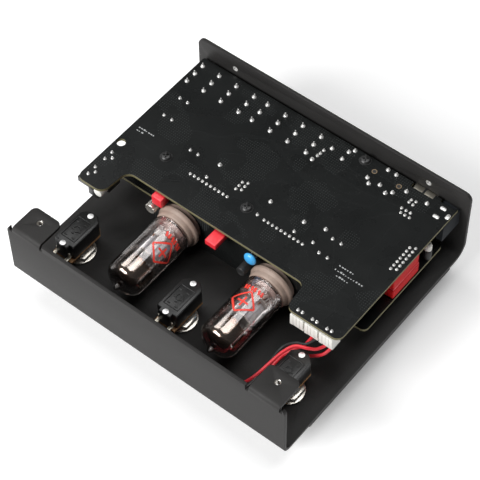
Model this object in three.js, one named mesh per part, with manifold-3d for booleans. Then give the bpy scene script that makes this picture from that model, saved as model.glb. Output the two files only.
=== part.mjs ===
// A two-valve headphone amplifier and preamplifier floor unit, opened for service and lying on its
// controls: a folded steel chassis with its open side up, two circuit boards, two valves, three
// footswitches, rear jacks, and the knobs and footswitch caps that it stands on.
// Millimetres. +Z points out of the open side, +X runs along the front wall, +Y from the front wall to
// the rear wall. The origin is the centre of the footprint, on the surface that it stands on.
import * as THREE from "three";
import { mergeVertices } from "three/addons/utils/BufferGeometryUtils.js";
import Module from "manifold-3d";

// ---- Driving dimensions ----------------------------------------------------------------------------
const GAP = 0.3; // clearance between pieces that touch

const WIDTH = 166; // chassis, left to right
const DEPTH = 145; // chassis, front to rear
const SHEET = 1.8; // steel thickness
const PLATE_Z = 14.8; // outer surface of the chassis plate
const FRONT_TOP = 52.1;
const REAR_TOP = 59.5;
const FRONT_BEND = 5; // outside bend radii
const REAR_BEND = 8;
const FACE_SHEET = 1.2; // face plate on the outside of the chassis plate
const FACE_FRONT = -53.5;
const FACE_REAR = 60.5;

const TAB_WIDTH = 17.4; // cover tabs folded in from the front wall
const TAB_REACH = 16.6;
const TAB_X = 71.1;
const TAB_HOLE = 1.6;
const TAB_BEND = 2.4;
const COVER_HOLE_X = 59.2; // cover screw holes in the rear wall
const COVER_HOLE_Z = 52.2;

const BOARD = 1.6; // circuit board thickness
const MAIN_Z = 47.4; // underside of the main board
const CONTROL_Z = 30.0; // underside of the control board
const BOARD_HALF = 78.3; // half the width of both boards

const VALVE_X = [-28.7, 28.3];
const VALVE_Z = 32;
const VALVE_TIP = -59.5;
const VALVE_R = 10.3;
const VALVE_BOARD_Y = -7.6;

const FOOT_X = [-64.8, -0.3, 64.2]; // footswitches
const FOOT_Y = -45.1;
const FOOT_TOP = 34.5;
const FOOT_HEIGHT = 10.8;

const JACK_X = [-70.9, -48.5, -28.5, -6.1]; // quarter-inch jacks
const JACK_Z = 40;
const SMALL_JACK_X = 17.6;
const DATA_JACK_X = 40.4;
const USB_X = 58.7;
const DC_X = 74.0;

const KNOB_X = [-60, -36, -12, 12, 36, 60];
const KNOB_Y = 24;
const SPACERS = { spacer_left: [-51.7, 7.2], spacer_middle: [-1.3, 7.1], spacer_rear: [25.9, 65.2] };
const SPACER_LIFT = { spacer_left: 0, spacer_middle: 0, spacer_rear: 1.6 }; // the rear one clears the bend

// ---- Finishes ---------------------------------------------------------------------------------------
const finish = (color, roughness, metalness = 0) =>
  new THREE.MeshStandardMaterial({ color, roughness, metalness });
const POWDER_COAT = finish(0x35332f, 0.6, 0.2);
const SOLDER_MASK = finish(0x1d211e, 0.45);
const BLACK_PLASTIC = finish(0x161616, 0.5);
const RED_PLASTIC = finish(0xd8222c, 0.4);
const CREAM_PLASTIC = finish(0xc9ab92, 0.5);
const WHITE_PLASTIC = finish(0xf2efe8, 0.5);
const BLUE_COATING = finish(0x39a5e0, 0.35);
const BRIGHT_NICKEL = finish(0xd4d2cc, 0.2, 1);
const GREY_METAL = finish(0x8c8c8a, 0.35, 1);
const CLEAR_GLASS = finish(0xcfc8c4, 0.05);
const RED_WIRE = finish(0xe03a40, 0.45);
const GREY_WIRE = finish(0x6d706e, 0.5);

// ---- Solid helpers ----------------------------------------------------------------------------------
const wasm = await Module();
wasm.setup();

// A closed three.js geometry as a solid that can be cut and joined.
function solid(geometry) {
  const bare = geometry.clone();
  bare.deleteAttribute("normal");
  bare.deleteAttribute("uv");
  const merged = mergeVertices(bare, 1e-4);
  const vertProperties = new Float32Array(merged.attributes.position.array);
  const triVerts = new Uint32Array(merged.index.array);
  return new wasm.Manifold(new wasm.Mesh({ numProp: 3, vertProperties, triVerts }));
}

// A solid as a three.js geometry.
function geometryOf(shape) {
  const mesh = shape.getMesh();
  const geometry = new THREE.BufferGeometry();
  geometry.setAttribute("position", new THREE.BufferAttribute(mesh.vertProperties, 3));
  geometry.setIndex(new THREE.BufferAttribute(mesh.triVerts, 1));
  return geometry;
}

const join = (first, ...others) => others.reduce((a, b) => a.add(b), first);
const cut = (first, ...others) => others.reduce((a, b) => a.subtract(b), first);

// A block between two corners.
function block([x0, x1], [y0, y1], [z0, z1]) {
  const geometry = new THREE.BoxGeometry(x1 - x0, y1 - y0, z1 - z0);
  return solid(geometry.translate((x0 + x1) / 2, (y0 + y1) / 2, (z0 + z1) / 2));
}

// Round bars along each axis, between two places on that axis.
function barZ(radius, x, y, [z0, z1], sides = 24) {
  const geometry = new THREE.CylinderGeometry(radius, radius, z1 - z0, sides);
  return solid(geometry.rotateX(Math.PI / 2).translate(x, y, (z0 + z1) / 2));
}
function barY(radius, x, z, [y0, y1], sides = 24) {
  const geometry = new THREE.CylinderGeometry(radius, radius, y1 - y0, sides);
  return solid(geometry.translate(x, (y0 + y1) / 2, z));
}

// A profile of [radius, height] points turned about +Z.
function turned(points, sides = 24) {
  const profile = points.map(([r, z]) => new THREE.Vector2(r, z));
  return solid(new THREE.LatheGeometry(profile, sides).rotateX(Math.PI / 2));
}

// A closed outline from [x, y, corner radius] points, with an arc at each rounded corner.
function outline(corners, Kind = THREE.Shape) {
  const path = new Kind();
  corners.forEach(([x, y, radius = 0], i) => {
    const here = new THREE.Vector2(x, y);
    const before = corners[(i + corners.length - 1) % corners.length];
    const after = corners[(i + 1) % corners.length];
    const back = new THREE.Vector2(before[0], before[1]).sub(here).normalize();
    const on = new THREE.Vector2(after[0], after[1]).sub(here).normalize();
    const half = Math.acos(THREE.MathUtils.clamp(back.dot(on), -1, 1)) / 2;
    const reach = radius / Math.tan(half);
    const start = here.clone().addScaledVector(back, reach);
    if (i === 0) path.moveTo(start.x, start.y);
    else path.lineTo(start.x, start.y);
    if (radius === 0) return;
    const middle = back.clone().add(on).normalize();
    const centre = here.clone().addScaledVector(middle, radius / Math.sin(half));
    const end = here.clone().addScaledVector(on, reach);
    const from = start.clone().sub(centre).angle();
    const to = end.clone().sub(centre).angle();
    path.absarc(centre.x, centre.y, radius, from, to, back.cross(on) > 0);
  });
  path.closePath();
  return path;
}

const extruded = (shape, depth, curveSegments = 5) =>
  new THREE.ExtrudeGeometry(shape, { depth, bevelEnabled: false, curveSegments });

// A flat outline in X and Y, from one height to another.
const slab = (corners, [z0, z1]) => solid(extruded(outline(corners), z1 - z0).translate(0, 0, z0));

// An outline in Y and Z, carried from one X to another.
function rail(corners, [x0, x1]) {
  const turn = new THREE.Matrix4().makeBasis(
    new THREE.Vector3(0, 1, 0),
    new THREE.Vector3(0, 0, 1),
    new THREE.Vector3(1, 0, 0),
  );
  return solid(extruded(outline(corners), x1 - x0).applyMatrix4(turn).translate(x0, 0, 0));
}

// A wire of round section through hand-placed points.
function wireAlong(points, radius, steps = 44) {
  const section = new THREE.Shape();
  const SIDES = 8;
  for (let i = 0; i < SIDES; i += 1) {
    const angle = (2 * Math.PI * i) / SIDES;
    const place = [radius * Math.cos(angle), radius * Math.sin(angle)];
    if (i === 0) section.moveTo(...place);
    else section.lineTo(...place);
  }
  section.closePath();
  const extrudePath = new THREE.CatmullRomCurve3(points.map((p) => new THREE.Vector3(...p)));
  return new THREE.ExtrudeGeometry(section, { steps, bevelEnabled: false, extrudePath });
}

// The jack bushings stand out of the rear wall, so the footprint's centre moves back.
const BUSHING_END = 76.4;
const unit = new THREE.Group();
unit.position.y = -(BUSHING_END - DEPTH / 2) / 2;

function addNode(name, shape, material) {
  const geometry = shape.isBufferGeometry ? shape : geometryOf(shape);
  const mesh = new THREE.Mesh(geometry, material);
  mesh.name = name;
  unit.add(mesh);
}

// ---- Heights and walls worked out from the driving dimensions ---------------------------------------
const FRONT_OUT = -DEPTH / 2;
const REAR_OUT = DEPTH / 2;
const FRONT_IN = FRONT_OUT + SHEET;
const REAR_IN = REAR_OUT - SHEET;
const PLATE_IN = PLATE_Z + SHEET;
const FACE_TOP = PLATE_Z - GAP;
const FACE_OUT = FACE_TOP - FACE_SHEET;
const MAIN_TOP = MAIN_Z + BOARD;
const CONTROL_TOP = CONTROL_Z + BOARD;
const FOOT_BASE = FOOT_TOP - FOOT_HEIGHT;
const UNDER_MAIN = MAIN_Z - GAP;

// ---- Chassis and face plate -------------------------------------------------------------------------
const PANEL_HOLES = { foot: 6.3, shaft: 3.6 };

// Holes through the plate and the face plate for the footswitch bushings and knob shafts.
function controlHoles(range) {
  const feet = FOOT_X.map((x) => barZ(PANEL_HOLES.foot, x, FOOT_Y, range));
  const shafts = KNOB_X.map((x) => barZ(PANEL_HOLES.shaft, x, KNOB_Y, range, 16));
  return [...feet, ...shafts];
}

function chassis() {
  const half = WIDTH / 2;
  const channel = rail(
    [
      [FRONT_OUT, FRONT_TOP],
      [FRONT_OUT, PLATE_Z, FRONT_BEND],
      [REAR_OUT, PLATE_Z, REAR_BEND],
      [REAR_OUT, REAR_TOP],
      [REAR_IN, REAR_TOP],
      [REAR_IN, PLATE_IN, REAR_BEND - SHEET],
      [FRONT_IN, PLATE_IN, FRONT_BEND - SHEET],
      [FRONT_IN, FRONT_TOP],
    ],
    [-half, half],
  );
  const CORNER = 4;
  const wallCorner = (x, side, top, [y0, y1]) => {
    const across = [x - side * CORNER, x + side].sort((a, b) => a - b);
    const square = block(across, [y0, y1], [top - CORNER, top + 1]);
    return cut(square, barY(CORNER, x - side * CORNER, top - CORNER, [y0 - 1, y1 + 1]));
  };
  const corners = [-1, 1].flatMap((side) => [
    wallCorner(side * half, side, REAR_TOP, [REAR_IN - 1, REAR_OUT + 1]),
    wallCorner(side * half, side, FRONT_TOP, [FRONT_OUT - 1, FRONT_IN + 1]),
  ]);
  const reach = FRONT_OUT + TAB_REACH;
  const tabs = [-1, 1].map((side) => {
    const [a, b] = [side * TAB_X - TAB_WIDTH / 2, side * TAB_X + TAB_WIDTH / 2];
    const tab = slab(
      [
        [a, FRONT_OUT + 0.9],
        [b, FRONT_OUT + 0.9],
        [b, reach, 3],
        [a, reach, 3],
      ],
      [FRONT_TOP - SHEET, FRONT_TOP],
    );
    return cut(tab, barZ(TAB_HOLE, side * TAB_X, FRONT_OUT + 10.4, [FRONT_TOP - 3, FRONT_TOP + 1], 16));
  });
  const foldedEdges = [-1, 1].map((side) => {
    const span = [side * TAB_X - TAB_WIDTH / 2, side * TAB_X + TAB_WIDTH / 2];
    const [low, high] = [FRONT_TOP - TAB_BEND, FRONT_TOP + 1];
    const edge = block(span, [FRONT_OUT - 1, FRONT_OUT + TAB_BEND], [low, high]);
    const round = new THREE.CylinderGeometry(TAB_BEND, TAB_BEND, TAB_WIDTH + 2, 40);
    return cut(edge, solid(round.rotateZ(Math.PI / 2).translate(side * TAB_X, FRONT_OUT + TAB_BEND, low)));
  });
  const notches = [-1, 1].flatMap((side) =>
    [-1, 1].map((edge) => {
      const x = side * TAB_X + edge * (TAB_WIDTH / 2 + 0.8);
      return block([x - 0.8, x + 0.8], [FRONT_OUT - 1, FRONT_IN + 1], [FRONT_TOP - 3.4, FRONT_TOP + 1]);
    }),
  );
  const wallHole = (radius, x, z, sides = 20) => barY(radius, x, z, [REAR_IN - 1, REAR_OUT + 1], sides);
  const rearHoles = [
    ...[-1, 1].map((side) => wallHole(1.6, side * COVER_HOLE_X, COVER_HOLE_Z, 14)),
    ...JACK_X.map((x) => wallHole(5.1, x, JACK_Z)),
    wallHole(3.4, SMALL_JACK_X, 43.6),
    wallHole(7.6, DATA_JACK_X, 39.4),
    wallHole(4.0, DC_X, 41.2),
    block([USB_X - 6.5, USB_X + 6.5], [REAR_IN - 1, REAR_OUT + 1], [35.6, 47.4]),
  ];
  const pressed = cut(channel, ...corners, ...notches, ...rearHoles, ...controlHoles([5, 20]));
  return cut(join(pressed, ...tabs), ...foldedEdges);
}

function facePlate() {
  const half = WIDTH / 2;
  const sheet = slab(
    [
      [-half, FACE_FRONT, 1],
      [half, FACE_FRONT, 1],
      [half, FACE_REAR, 1],
      [-half, FACE_REAR, 1],
    ],
    [FACE_OUT, FACE_TOP],
  );
  return cut(sheet, ...controlHoles([5, 20]));
}

addNode("chassis", chassis(), POWDER_COAT);
addNode("face_plate", facePlate(), POWDER_COAT);

// ---- Circuit boards ---------------------------------------------------------------------------------
function mainBoard() {
  const REAR = 69.0;
  const FRONT = -11.0;
  const board = slab(
    [
      [-BOARD_HALF, -28.5, 4],
      [-62.0, -28.5, 5],
      [-60.6, FRONT, 5],
      [47.0, FRONT, 4],
      [48.2, -26.6, 4],
      [BOARD_HALF, -26.6, 4],
      [BOARD_HALF, REAR, 1],
      [-BOARD_HALF, REAR, 1],
    ],
    [MAIN_Z, MAIN_TOP],
  );
  const through = [MAIN_Z - 1, MAIN_TOP + 1];
  const holes = [barZ(2.3, -75, 0.8, through, 18)];
  const usbNotch = block([USB_X - 6.4, USB_X + 6.4], [66.2, REAR + 1], through);
  const dcNotch = block([DC_X - 5.2, DC_X + 3.2], [67.2, REAR + 1], through);
  return cut(board, ...holes, usbNotch, dcNotch);
}

function controlBoard() {
  const FRONT = -5.3;
  const REAR = 58.6;
  const board = slab(
    [
      [-BOARD_HALF, FRONT, 3],
      [BOARD_HALF, FRONT, 3],
      [BOARD_HALF, REAR, 3],
      [-BOARD_HALF, REAR, 3],
    ],
    [CONTROL_Z, CONTROL_TOP],
  );
  const holes = Object.values(SPACERS).map(([x, y]) => barZ(3.2, x, y, [CONTROL_Z - 1, CONTROL_TOP + 1], 16));
  return cut(board, ...holes);
}

const VALVE_BOARD_FRONT = VALVE_BOARD_Y;
const VALVE_BOARD_REAR = VALVE_BOARD_Y + BOARD;
const valveBoard = () => block([-49, 44], [VALVE_BOARD_FRONT, VALVE_BOARD_REAR], [19, UNDER_MAIN]);

addNode("main_board", mainBoard(), SOLDER_MASK);
addNode("control_board", controlBoard(), SOLDER_MASK);
addNode("valve_board", valveBoard(), SOLDER_MASK);

for (const [name, [x, y]] of Object.entries(SPACERS))
  addNode(name, barZ(2.8, x, y, [PLATE_IN + GAP + SPACER_LIFT[name], UNDER_MAIN], 6), GREY_METAL);

// ---- Valves and their sockets -----------------------------------------------------------------------
// Turned about +Z with height 0 at the socket's seat, then laid down so that height runs towards -Y.
const SEAT = VALVE_BOARD_FRONT - GAP;
const laidDown = (shape, x) => shape.rotate([90, 0, 0]).translate([x, SEAT, VALVE_Z]);
const GLASS_BASE = 9.0; // seat to the underside of the glass
const GLASS_WALL = 0.9;
const GLASS_LENGTH = -VALVE_TIP + SEAT - GLASS_BASE;

function valveSocket() {
  return turned([
    [0, 0],
    [11, 0],
    [11, 2.6],
    [12.2, 2.9],
    [12.2, 4.9],
    [10.9, 5.5],
    [10.9, 8.0],
    [9.6, 8.4],
    [0, 8.4],
  ]);
}

// An open-bottomed glass envelope with a domed end and a sealed-off tip.
function envelope() {
  const top = GLASS_LENGTH;
  const outer = [
    [VALVE_R, 0],
    [VALVE_R, top - 9.5],
    [VALVE_R - 0.9, top - 6.6],
    [VALVE_R - 3.4, top - 4.2],
    [2.4, top - 3.0],
    [1.6, top - 1.4],
    [0, top],
  ];
  const inner = [
    [0, top - 4.4],
    [VALVE_R - 4.4, top - 5.0],
    [VALVE_R - GLASS_WALL - 0.9, top - 7.2],
    [VALVE_R - GLASS_WALL, top - 9.7],
    [VALVE_R - GLASS_WALL, 0],
  ];
  return turned([...outer, ...inner, outer[0]]).translate([0, 0, GLASS_BASE]);
}

// Glass base, two mica discs, two anode boxes and the getter holder, as one stack.
function electrodes() {
  const button = turned([
    [0, 0.2],
    [8.6, 0.2],
    [8.6, 2.2],
    [0, 2.2],
  ], 20);
  const stem = barZ(2.2, 0, 0, [2, 12.5], 10);
  const disc = (z) => barZ(8.4, 0, 0, [z, z + 0.5], 20);
  const anode = (side) => block([side * 3.4 - 2.7, side * 3.4 + 2.7], [-4.2, 4.2], [12.5, 27.2]);
  const bridge = block([-1, 1], [-3.4, 3.4], [12.5, 27.2]);
  const holder = barZ(0.9, 0, 0, [27, 33.4], 8);
  const getter = barZ(3.4, 0, 0, [33, 33.6], 16);
  const stack = join(button, stem, disc(12.1), disc(27.1), anode(-1), anode(1), bridge, holder, getter);
  return stack.translate([0, 0, GLASS_BASE]);
}

["left", "right"].forEach((side, i) => {
  addNode("valve_socket_" + side, laidDown(valveSocket(), VALVE_X[i]), CREAM_PLASTIC);
  addNode("valve_glass_" + side, laidDown(envelope(), VALVE_X[i]), CLEAR_GLASS);
  addNode("valve_electrodes_" + side, laidDown(electrodes(), VALVE_X[i]), GREY_METAL);
});

// ---- Footswitches -----------------------------------------------------------------------------------
const FOOT_BUSHING = 5.9;
const FOOT_BORE = 4.6;
const FOOT_CAP = 4.25;
const FOOT_HALF_X = 6.0;
const FOOT_FRONT = FOOT_Y - 11.7;
const FOOT_REAR = FOOT_Y + 12.5;
const LUG_Z = 26.4;

function footHousing(x) {
  const body = slab(
    [
      [x - FOOT_HALF_X, FOOT_FRONT, 0.6],
      [x + FOOT_HALF_X, FOOT_FRONT, 0.6],
      [x + FOOT_HALF_X, FOOT_REAR, 3.2],
      [x - FOOT_HALF_X, FOOT_REAR, 3.2],
    ],
    [FOOT_BASE, FOOT_TOP],
  );
  const lug = (side) => {
    const middle = x + side * 3.7;
    return block([middle - 1, middle + 1], [FOOT_FRONT - 3.4, FOOT_FRONT + 1], [LUG_Z - 0.3, LUG_Z + 0.3]);
  };
  return join(body, lug(-1), lug(1));
}

function footBushing(x) {
  const tube = barZ(FOOT_BUSHING, x, FOOT_Y, [6.2, FOOT_BASE - GAP], 20);
  const washer = barZ(8.4, x, FOOT_Y, [PLATE_IN + GAP, PLATE_IN + 1.2], 24);
  const nutInside = barZ(8.0, x, FOOT_Y, [PLATE_IN + 1.1, PLATE_IN + 3.6], 6);
  const nutOutside = barZ(8.0, x, FOOT_Y, [10.4, FACE_OUT - GAP], 6);
  const bore = barZ(FOOT_BORE, x, FOOT_Y, [5, 30], 20);
  return cut(join(tube, washer, nutInside, nutOutside), bore);
}

function footCap(x) {
  const profile = [
    [0, 0],
    [3.3, 0],
    [FOOT_CAP, 0.9],
    [FOOT_CAP, 20],
    [0, 20],
  ];
  return turned(profile, 20).translate([x, FOOT_Y, 0]);
}

["left", "middle", "right"].forEach((place, i) => {
  addNode("footswitch_housing_" + place, footHousing(FOOT_X[i]), BLACK_PLASTIC);
  addNode("footswitch_bushing_" + place, footBushing(FOOT_X[i]), BRIGHT_NICKEL);
  addNode("footswitch_cap_" + place, footCap(FOOT_X[i]), BRIGHT_NICKEL);
});

// ---- Rear jacks and sockets -------------------------------------------------------------------------
const INSIDE_REAR = REAR_IN - GAP;

function quarterInchJack(x) {
  const body = block([x - 7.8, x + 7.8], [44.6, INSIDE_REAR], [32.6, UNDER_MAIN]);
  const bushing = barY(4.7, x, JACK_Z, [INSIDE_REAR - 1, BUSHING_END], 20);
  const nut = barY(6.6, x, JACK_Z, [REAR_OUT + GAP, REAR_OUT + 2.7], 6);
  const bore = barY(3.3, x, JACK_Z, [49, 78], 20);
  return cut(join(body, bushing, nut), bore);
}

function smallJack() {
  const body = block([SMALL_JACK_X - 4.2, SMALL_JACK_X + 4.2], [56.4, INSIDE_REAR], [40.4, UNDER_MAIN]);
  const bushing = barY(3.0, SMALL_JACK_X, 43.6, [INSIDE_REAR - 1, 74.6], 16);
  return cut(join(body, bushing), barY(1.85, SMALL_JACK_X, 43.6, [59, 76], 12));
}

function dataJack() {
  const body = block([DATA_JACK_X - 8.8, DATA_JACK_X + 8.8], [54.0, INSIDE_REAR], [32.0, UNDER_MAIN]);
  const collar = barY(7.2, DATA_JACK_X, 39.4, [INSIDE_REAR - 1, REAR_OUT + 0.4], 24);
  return cut(join(body, collar), barY(6.5, DATA_JACK_X, 39.4, [61, 76], 24));
}

function usbSocket() {
  const shell = block([USB_X - 6.1, USB_X + 6.1], [56.2, 73.0], [36.0, 46.9]);
  const recess = block([USB_X - 4.4, USB_X + 4.4], [62.5, 75], [37.4, 45.6]);
  return cut(shell, recess);
}

function dcSocket() {
  const body = block([DC_X - 4.5, DC_X + 4.4], [56.4, INSIDE_REAR], [36.2, UNDER_MAIN]);
  const collar = barY(3.7, DC_X, 41.2, [INSIDE_REAR - 1, REAR_OUT], 20);
  return cut(join(body, collar), barY(3.2, DC_X, 41.2, [60.5, 76], 20));
}

JACK_X.forEach((x, i) => addNode("jack_" + (i + 1), quarterInchJack(x), BLACK_PLASTIC));
addNode("small_jack", smallJack(), BLACK_PLASTIC);
addNode("data_jack", dataJack(), BLACK_PLASTIC);
addNode("usb_socket", usbSocket(), GREY_METAL);
addNode("dc_socket", dcSocket(), BLACK_PLASTIC);

// ---- Slide switch under the main board --------------------------------------------------------------
const SWITCH = { x: 6.6, y: 55.7, z: 41.2 };

function slideSwitch() {
  const { x, y, z } = SWITCH;
  const body = block([x - 2.2, x + 2.2], [y - 4.6, y + 4.6], [z, UNDER_MAIN]);
  const slot = block([x - 1.1, x + 1.1], [y - 2.4, y + 2.4], [z - 1, 44.2]);
  return cut(body, slot);
}
const slideLever = () =>
  block([SWITCH.x - 0.8, SWITCH.x + 0.8], [SWITCH.y - 2.1, SWITCH.y - 0.1], [SWITCH.z - 3.4, 43.9]);

addNode("slide_switch", slideSwitch(), GREY_METAL);
addNode("slide_lever", slideLever(), BLACK_PLASTIC);

// ---- Parts between the boards and on the valve board ------------------------------------------------
const PART_REAR = VALVE_BOARD_FRONT - GAP; // parts on the valve board end here
const frontPart = (xs, reach, zs) => block(xs, [reach, PART_REAR], zs);

addNode("board_connector", block([70.6, 78.0], [17.2, 38.6], [CONTROL_TOP + GAP, UNDER_MAIN]), RED_PLASTIC);
addNode("film_capacitor_left", frontPart([-43.5, -37.2], -14.0, [40.8, 46.8]), RED_PLASTIC);
addNode("film_capacitor_right", frontPart([-6.7, -0.2], -18.3, [42.9, 46.5]), RED_PLASTIC);
addNode("can_capacitor_left", barY(2.9, -43.6, 37.2, [-15.6, PART_REAR], 18), GREY_METAL);
addNode("can_capacitor_right", barY(2.5, 13.3, 35.2, [-16.6, PART_REAR], 16), BLACK_PLASTIC);

function discCapacitor() {
  const [x, z] = [16.2, 43.2];
  const lens = turned(
    [
      [0, 0],
      [2.4, 0.35],
      [3.5, 1.6],
      [2.4, 2.85],
      [0, 3.2],
    ],
    18,
  ).rotate([90, 0, 0]).translate([x, -11.0, z]);
  const leg = (side) => barY(0.4, x + side * 1.6, z, [-12.4, PART_REAR], 6);
  return join(lens, leg(-1), leg(1));
}
addNode("disc_capacitor", discCapacitor(), BLUE_COATING);

// ---- Level control under the left tab of the main board ---------------------------------------------
const LEVEL = { x: -66.0, z: 44.3 };

function levelControl() {
  const upper = block([-78.9, -69.2], [-27.2, -5.4], [43.6, UNDER_MAIN]);
  const lower = block([-73.2, -67.4], [-26.4, -14.0], [37.6, 41.4]);
  const stem = block([-73.2, -69.2], [-26.4, -14.0], [41.2, 43.8]);
  const bearing = block([-69.4, -63.4], [-22.4, -14.0], [41.2, UNDER_MAIN]);
  return join(upper, stem, lower, bearing);
}
const levelRotor = () => barY(2.5, LEVEL.x, LEVEL.z, [-27.8, -22.4 - GAP], 20);

addNode("level_control", levelControl(), BLACK_PLASTIC);
addNode("level_rotor", levelRotor(), WHITE_PLASTIC);

// ---- Wire connectors and hook-up wires --------------------------------------------------------------
const CONNECTOR_X = [54.8, 63.1, 71.4];
const CONNECTOR_BOTTOM = 37.4;
CONNECTOR_X.forEach((x, i) => {
  const shell = block([x - 3.8, x + 3.8], [-27.4, -20.4], [CONNECTOR_BOTTOM, UNDER_MAIN]);
  const step = block([x - 5, x + 5], [-28, -25.6], [CONNECTOR_BOTTOM - 1, CONNECTOR_BOTTOM + 3.2]);
  addNode("wire_connector_" + (i + 1), cut(shell, step), WHITE_PLASTIC);
});

const WIRE = 0.8;
const LUG_Y = FOOT_FRONT - 4.6;
const WIRE_START = CONNECTOR_BOTTOM - GAP;
const WIRES = {
  wire_middle: {
    material: RED_WIRE,
    points: [
      [70.2, -24.0, WIRE_START],
      [70.2, -24.4, 35.6],
      [67.6, -28.4, 34.6],
      [64.4, -31.6, 36.2],
      [59.6, -34.6, 37.0],
      [57.2, -40.4, 36.9],
      [56.2, -47.4, 36.6],
      [54.8, -56.4, 35.4],
      [52.4, -61.4, 33.0],
      [47.5, -64.6, 27.5],
      [38, -66.0, 21.8],
      [24, -66.6, 20.0],
      [11, -66.2, 21],
      [5, -64.6, 24.2],
      [3.4, LUG_Y, LUG_Z],
    ],
  },
  wire_right_a: {
    material: RED_WIRE,
    points: [
      [72.6, -24, WIRE_START],
      [72.6, -24.4, 35],
      [70.4, -27.4, 31.5],
      [65, -29.4, 27.5],
      [59.6, -30.2, 24],
      [56, -33.6, 21.8],
      [54.6, -42, 21],
      [54.4, -52, 21],
      [56.4, -60.6, 22.6],
      [60.5, LUG_Y, LUG_Z],
    ],
  },
  wire_right_b: {
    material: RED_WIRE,
    points: [
      [62, -24, WIRE_START],
      [62, -24.4, 34.6],
      [60, -27.6, 29.8],
      [56.2, -30, 25.6],
      [52.8, -35, 22.4],
      [52, -44, 21],
      [52, -56, 20.8],
      [54.4, -63.6, 21.2],
      [60.5, -66.6, 21.6],
      [66, -65.6, 23],
      [67.9, LUG_Y, LUG_Z],
    ],
  },
  wire_grey: {
    material: GREY_WIRE,
    points: [
      [64.4, -24, WIRE_START],
      [64.2, -24.6, 35.2],
      [61.6, -28.6, 33.4],
      [56.6, -29.6, 31],
      [50.8, -32.6, 25],
      [49.8, -44, 20.8],
      [48.6, -60, 20],
      [40, -68.6, 22.2],
      [20, -69.2, 22.2],
      [4, -68, 22.6],
      [-3, -66.4, 24.4],
      [-4, LUG_Y, LUG_Z],
    ],
  },
};
for (const [name, { material, points }] of Object.entries(WIRES))
  addNode(name, wireAlong(points, name === "wire_grey" ? WIRE - 0.2 : WIRE), material);

// ---- Potentiometers and knobs -----------------------------------------------------------------------
const POT_TOP = CONTROL_Z - GAP;
const SHAFT = 3.0;

function potentiometer(x) {
  const body = block([x - 5.6, x + 5.6], [KNOB_Y - 5.8, KNOB_Y + 5.8], [22.4, POT_TOP]);
  const bushing = barZ(4.6, x, KNOB_Y, [PLATE_IN + GAP, 23], 16);
  const bore = barZ(SHAFT + GAP, x, KNOB_Y, [10, 26], 16);
  return cut(join(body, bushing), bore);
}

function knob(x) {
  const KNOB_TOP = FACE_OUT - 0.6;
  const profile = [
    [0, 0],
    [5.6, 0],
    [6.2, 0.6],
    [6.9, KNOB_TOP],
    [SHAFT, KNOB_TOP],
    [SHAFT, 25.4],
    [0, 25.4],
  ];
  const pointer = block([-0.6, 0.6], [5.4, 7.4], [0.8, KNOB_TOP - 0.2]);
  return join(turned(profile, 20), pointer).translate([x, KNOB_Y, 0]);
}

KNOB_X.forEach((x, i) => {
  addNode("potentiometer_" + (i + 1), potentiometer(x), GREY_METAL);
  addNode("knob_" + (i + 1), knob(x), BLACK_PLASTIC);
});

const part = new THREE.Group();
part.add(unit);
export default part;
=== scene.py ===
"""Looks for a two-valve preamplifier and headphone amplifier, opened and lying on its controls.

Lengths in this file are millimetres in the amplifier's own drawing, and are turned to metres, with the
drawing's middle moved to the middle of the footprint, by place(). +X runs along the front wall, +Y from
the front wall to the rear sockets, and +Z out of the open side.
"""

import math
import random

import bmesh
import bpy
from bpy.props import FloatProperty, FloatVectorProperty, PointerProperty
from bpy.types import Operator, Panel, PropertyGroup
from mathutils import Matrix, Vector


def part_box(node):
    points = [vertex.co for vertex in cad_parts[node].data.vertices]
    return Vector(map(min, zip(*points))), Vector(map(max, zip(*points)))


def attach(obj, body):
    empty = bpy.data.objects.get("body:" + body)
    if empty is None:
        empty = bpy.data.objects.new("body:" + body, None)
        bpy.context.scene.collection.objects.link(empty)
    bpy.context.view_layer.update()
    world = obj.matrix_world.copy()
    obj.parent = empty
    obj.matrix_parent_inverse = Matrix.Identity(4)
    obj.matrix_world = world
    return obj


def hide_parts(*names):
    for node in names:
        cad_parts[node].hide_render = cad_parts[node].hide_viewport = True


bl_info = {
    "name": "Open Valve Amplifier",
    "version": (1, 0, 0),
    "blender": (4, 5, 0),
    "location": "3D View > Sidebar > Valve Amp",
    "description": "Builds the finish of an open valve amplifier round its frame",
    "category": "Object",
}

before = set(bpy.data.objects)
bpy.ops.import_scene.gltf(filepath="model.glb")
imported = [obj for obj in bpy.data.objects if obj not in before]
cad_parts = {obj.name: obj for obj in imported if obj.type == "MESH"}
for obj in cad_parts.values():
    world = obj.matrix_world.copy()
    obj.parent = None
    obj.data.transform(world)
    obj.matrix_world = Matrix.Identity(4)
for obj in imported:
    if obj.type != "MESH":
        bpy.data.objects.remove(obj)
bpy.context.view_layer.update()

MM = 0.001


def middle_of(low, high):
    """The point halfway between two corners, to 0.01."""
    return tuple(round((a + b) / 2, 2) for a, b in zip(low, high))


MIDDLE_Y = middle_of(*[[c / MM for c in corner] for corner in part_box("chassis")])[1]


def place(point):
    """A point of the drawing, in metres in the frame."""
    x, y, z = point
    return Vector((x, y + MIDDLE_Y, z)) * MM


def drawn(node):
    """A CAD node's lowest and highest corners, in the drawing's millimetres."""
    return [(round(x / MM, 2), round(y / MM - MIDDLE_Y, 2), round(z / MM, 2)) for x, y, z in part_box(node)]


def middle(node):
    """The middle of a CAD node's box, in the drawing's millimetres."""
    return middle_of(*drawn(node))


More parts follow.
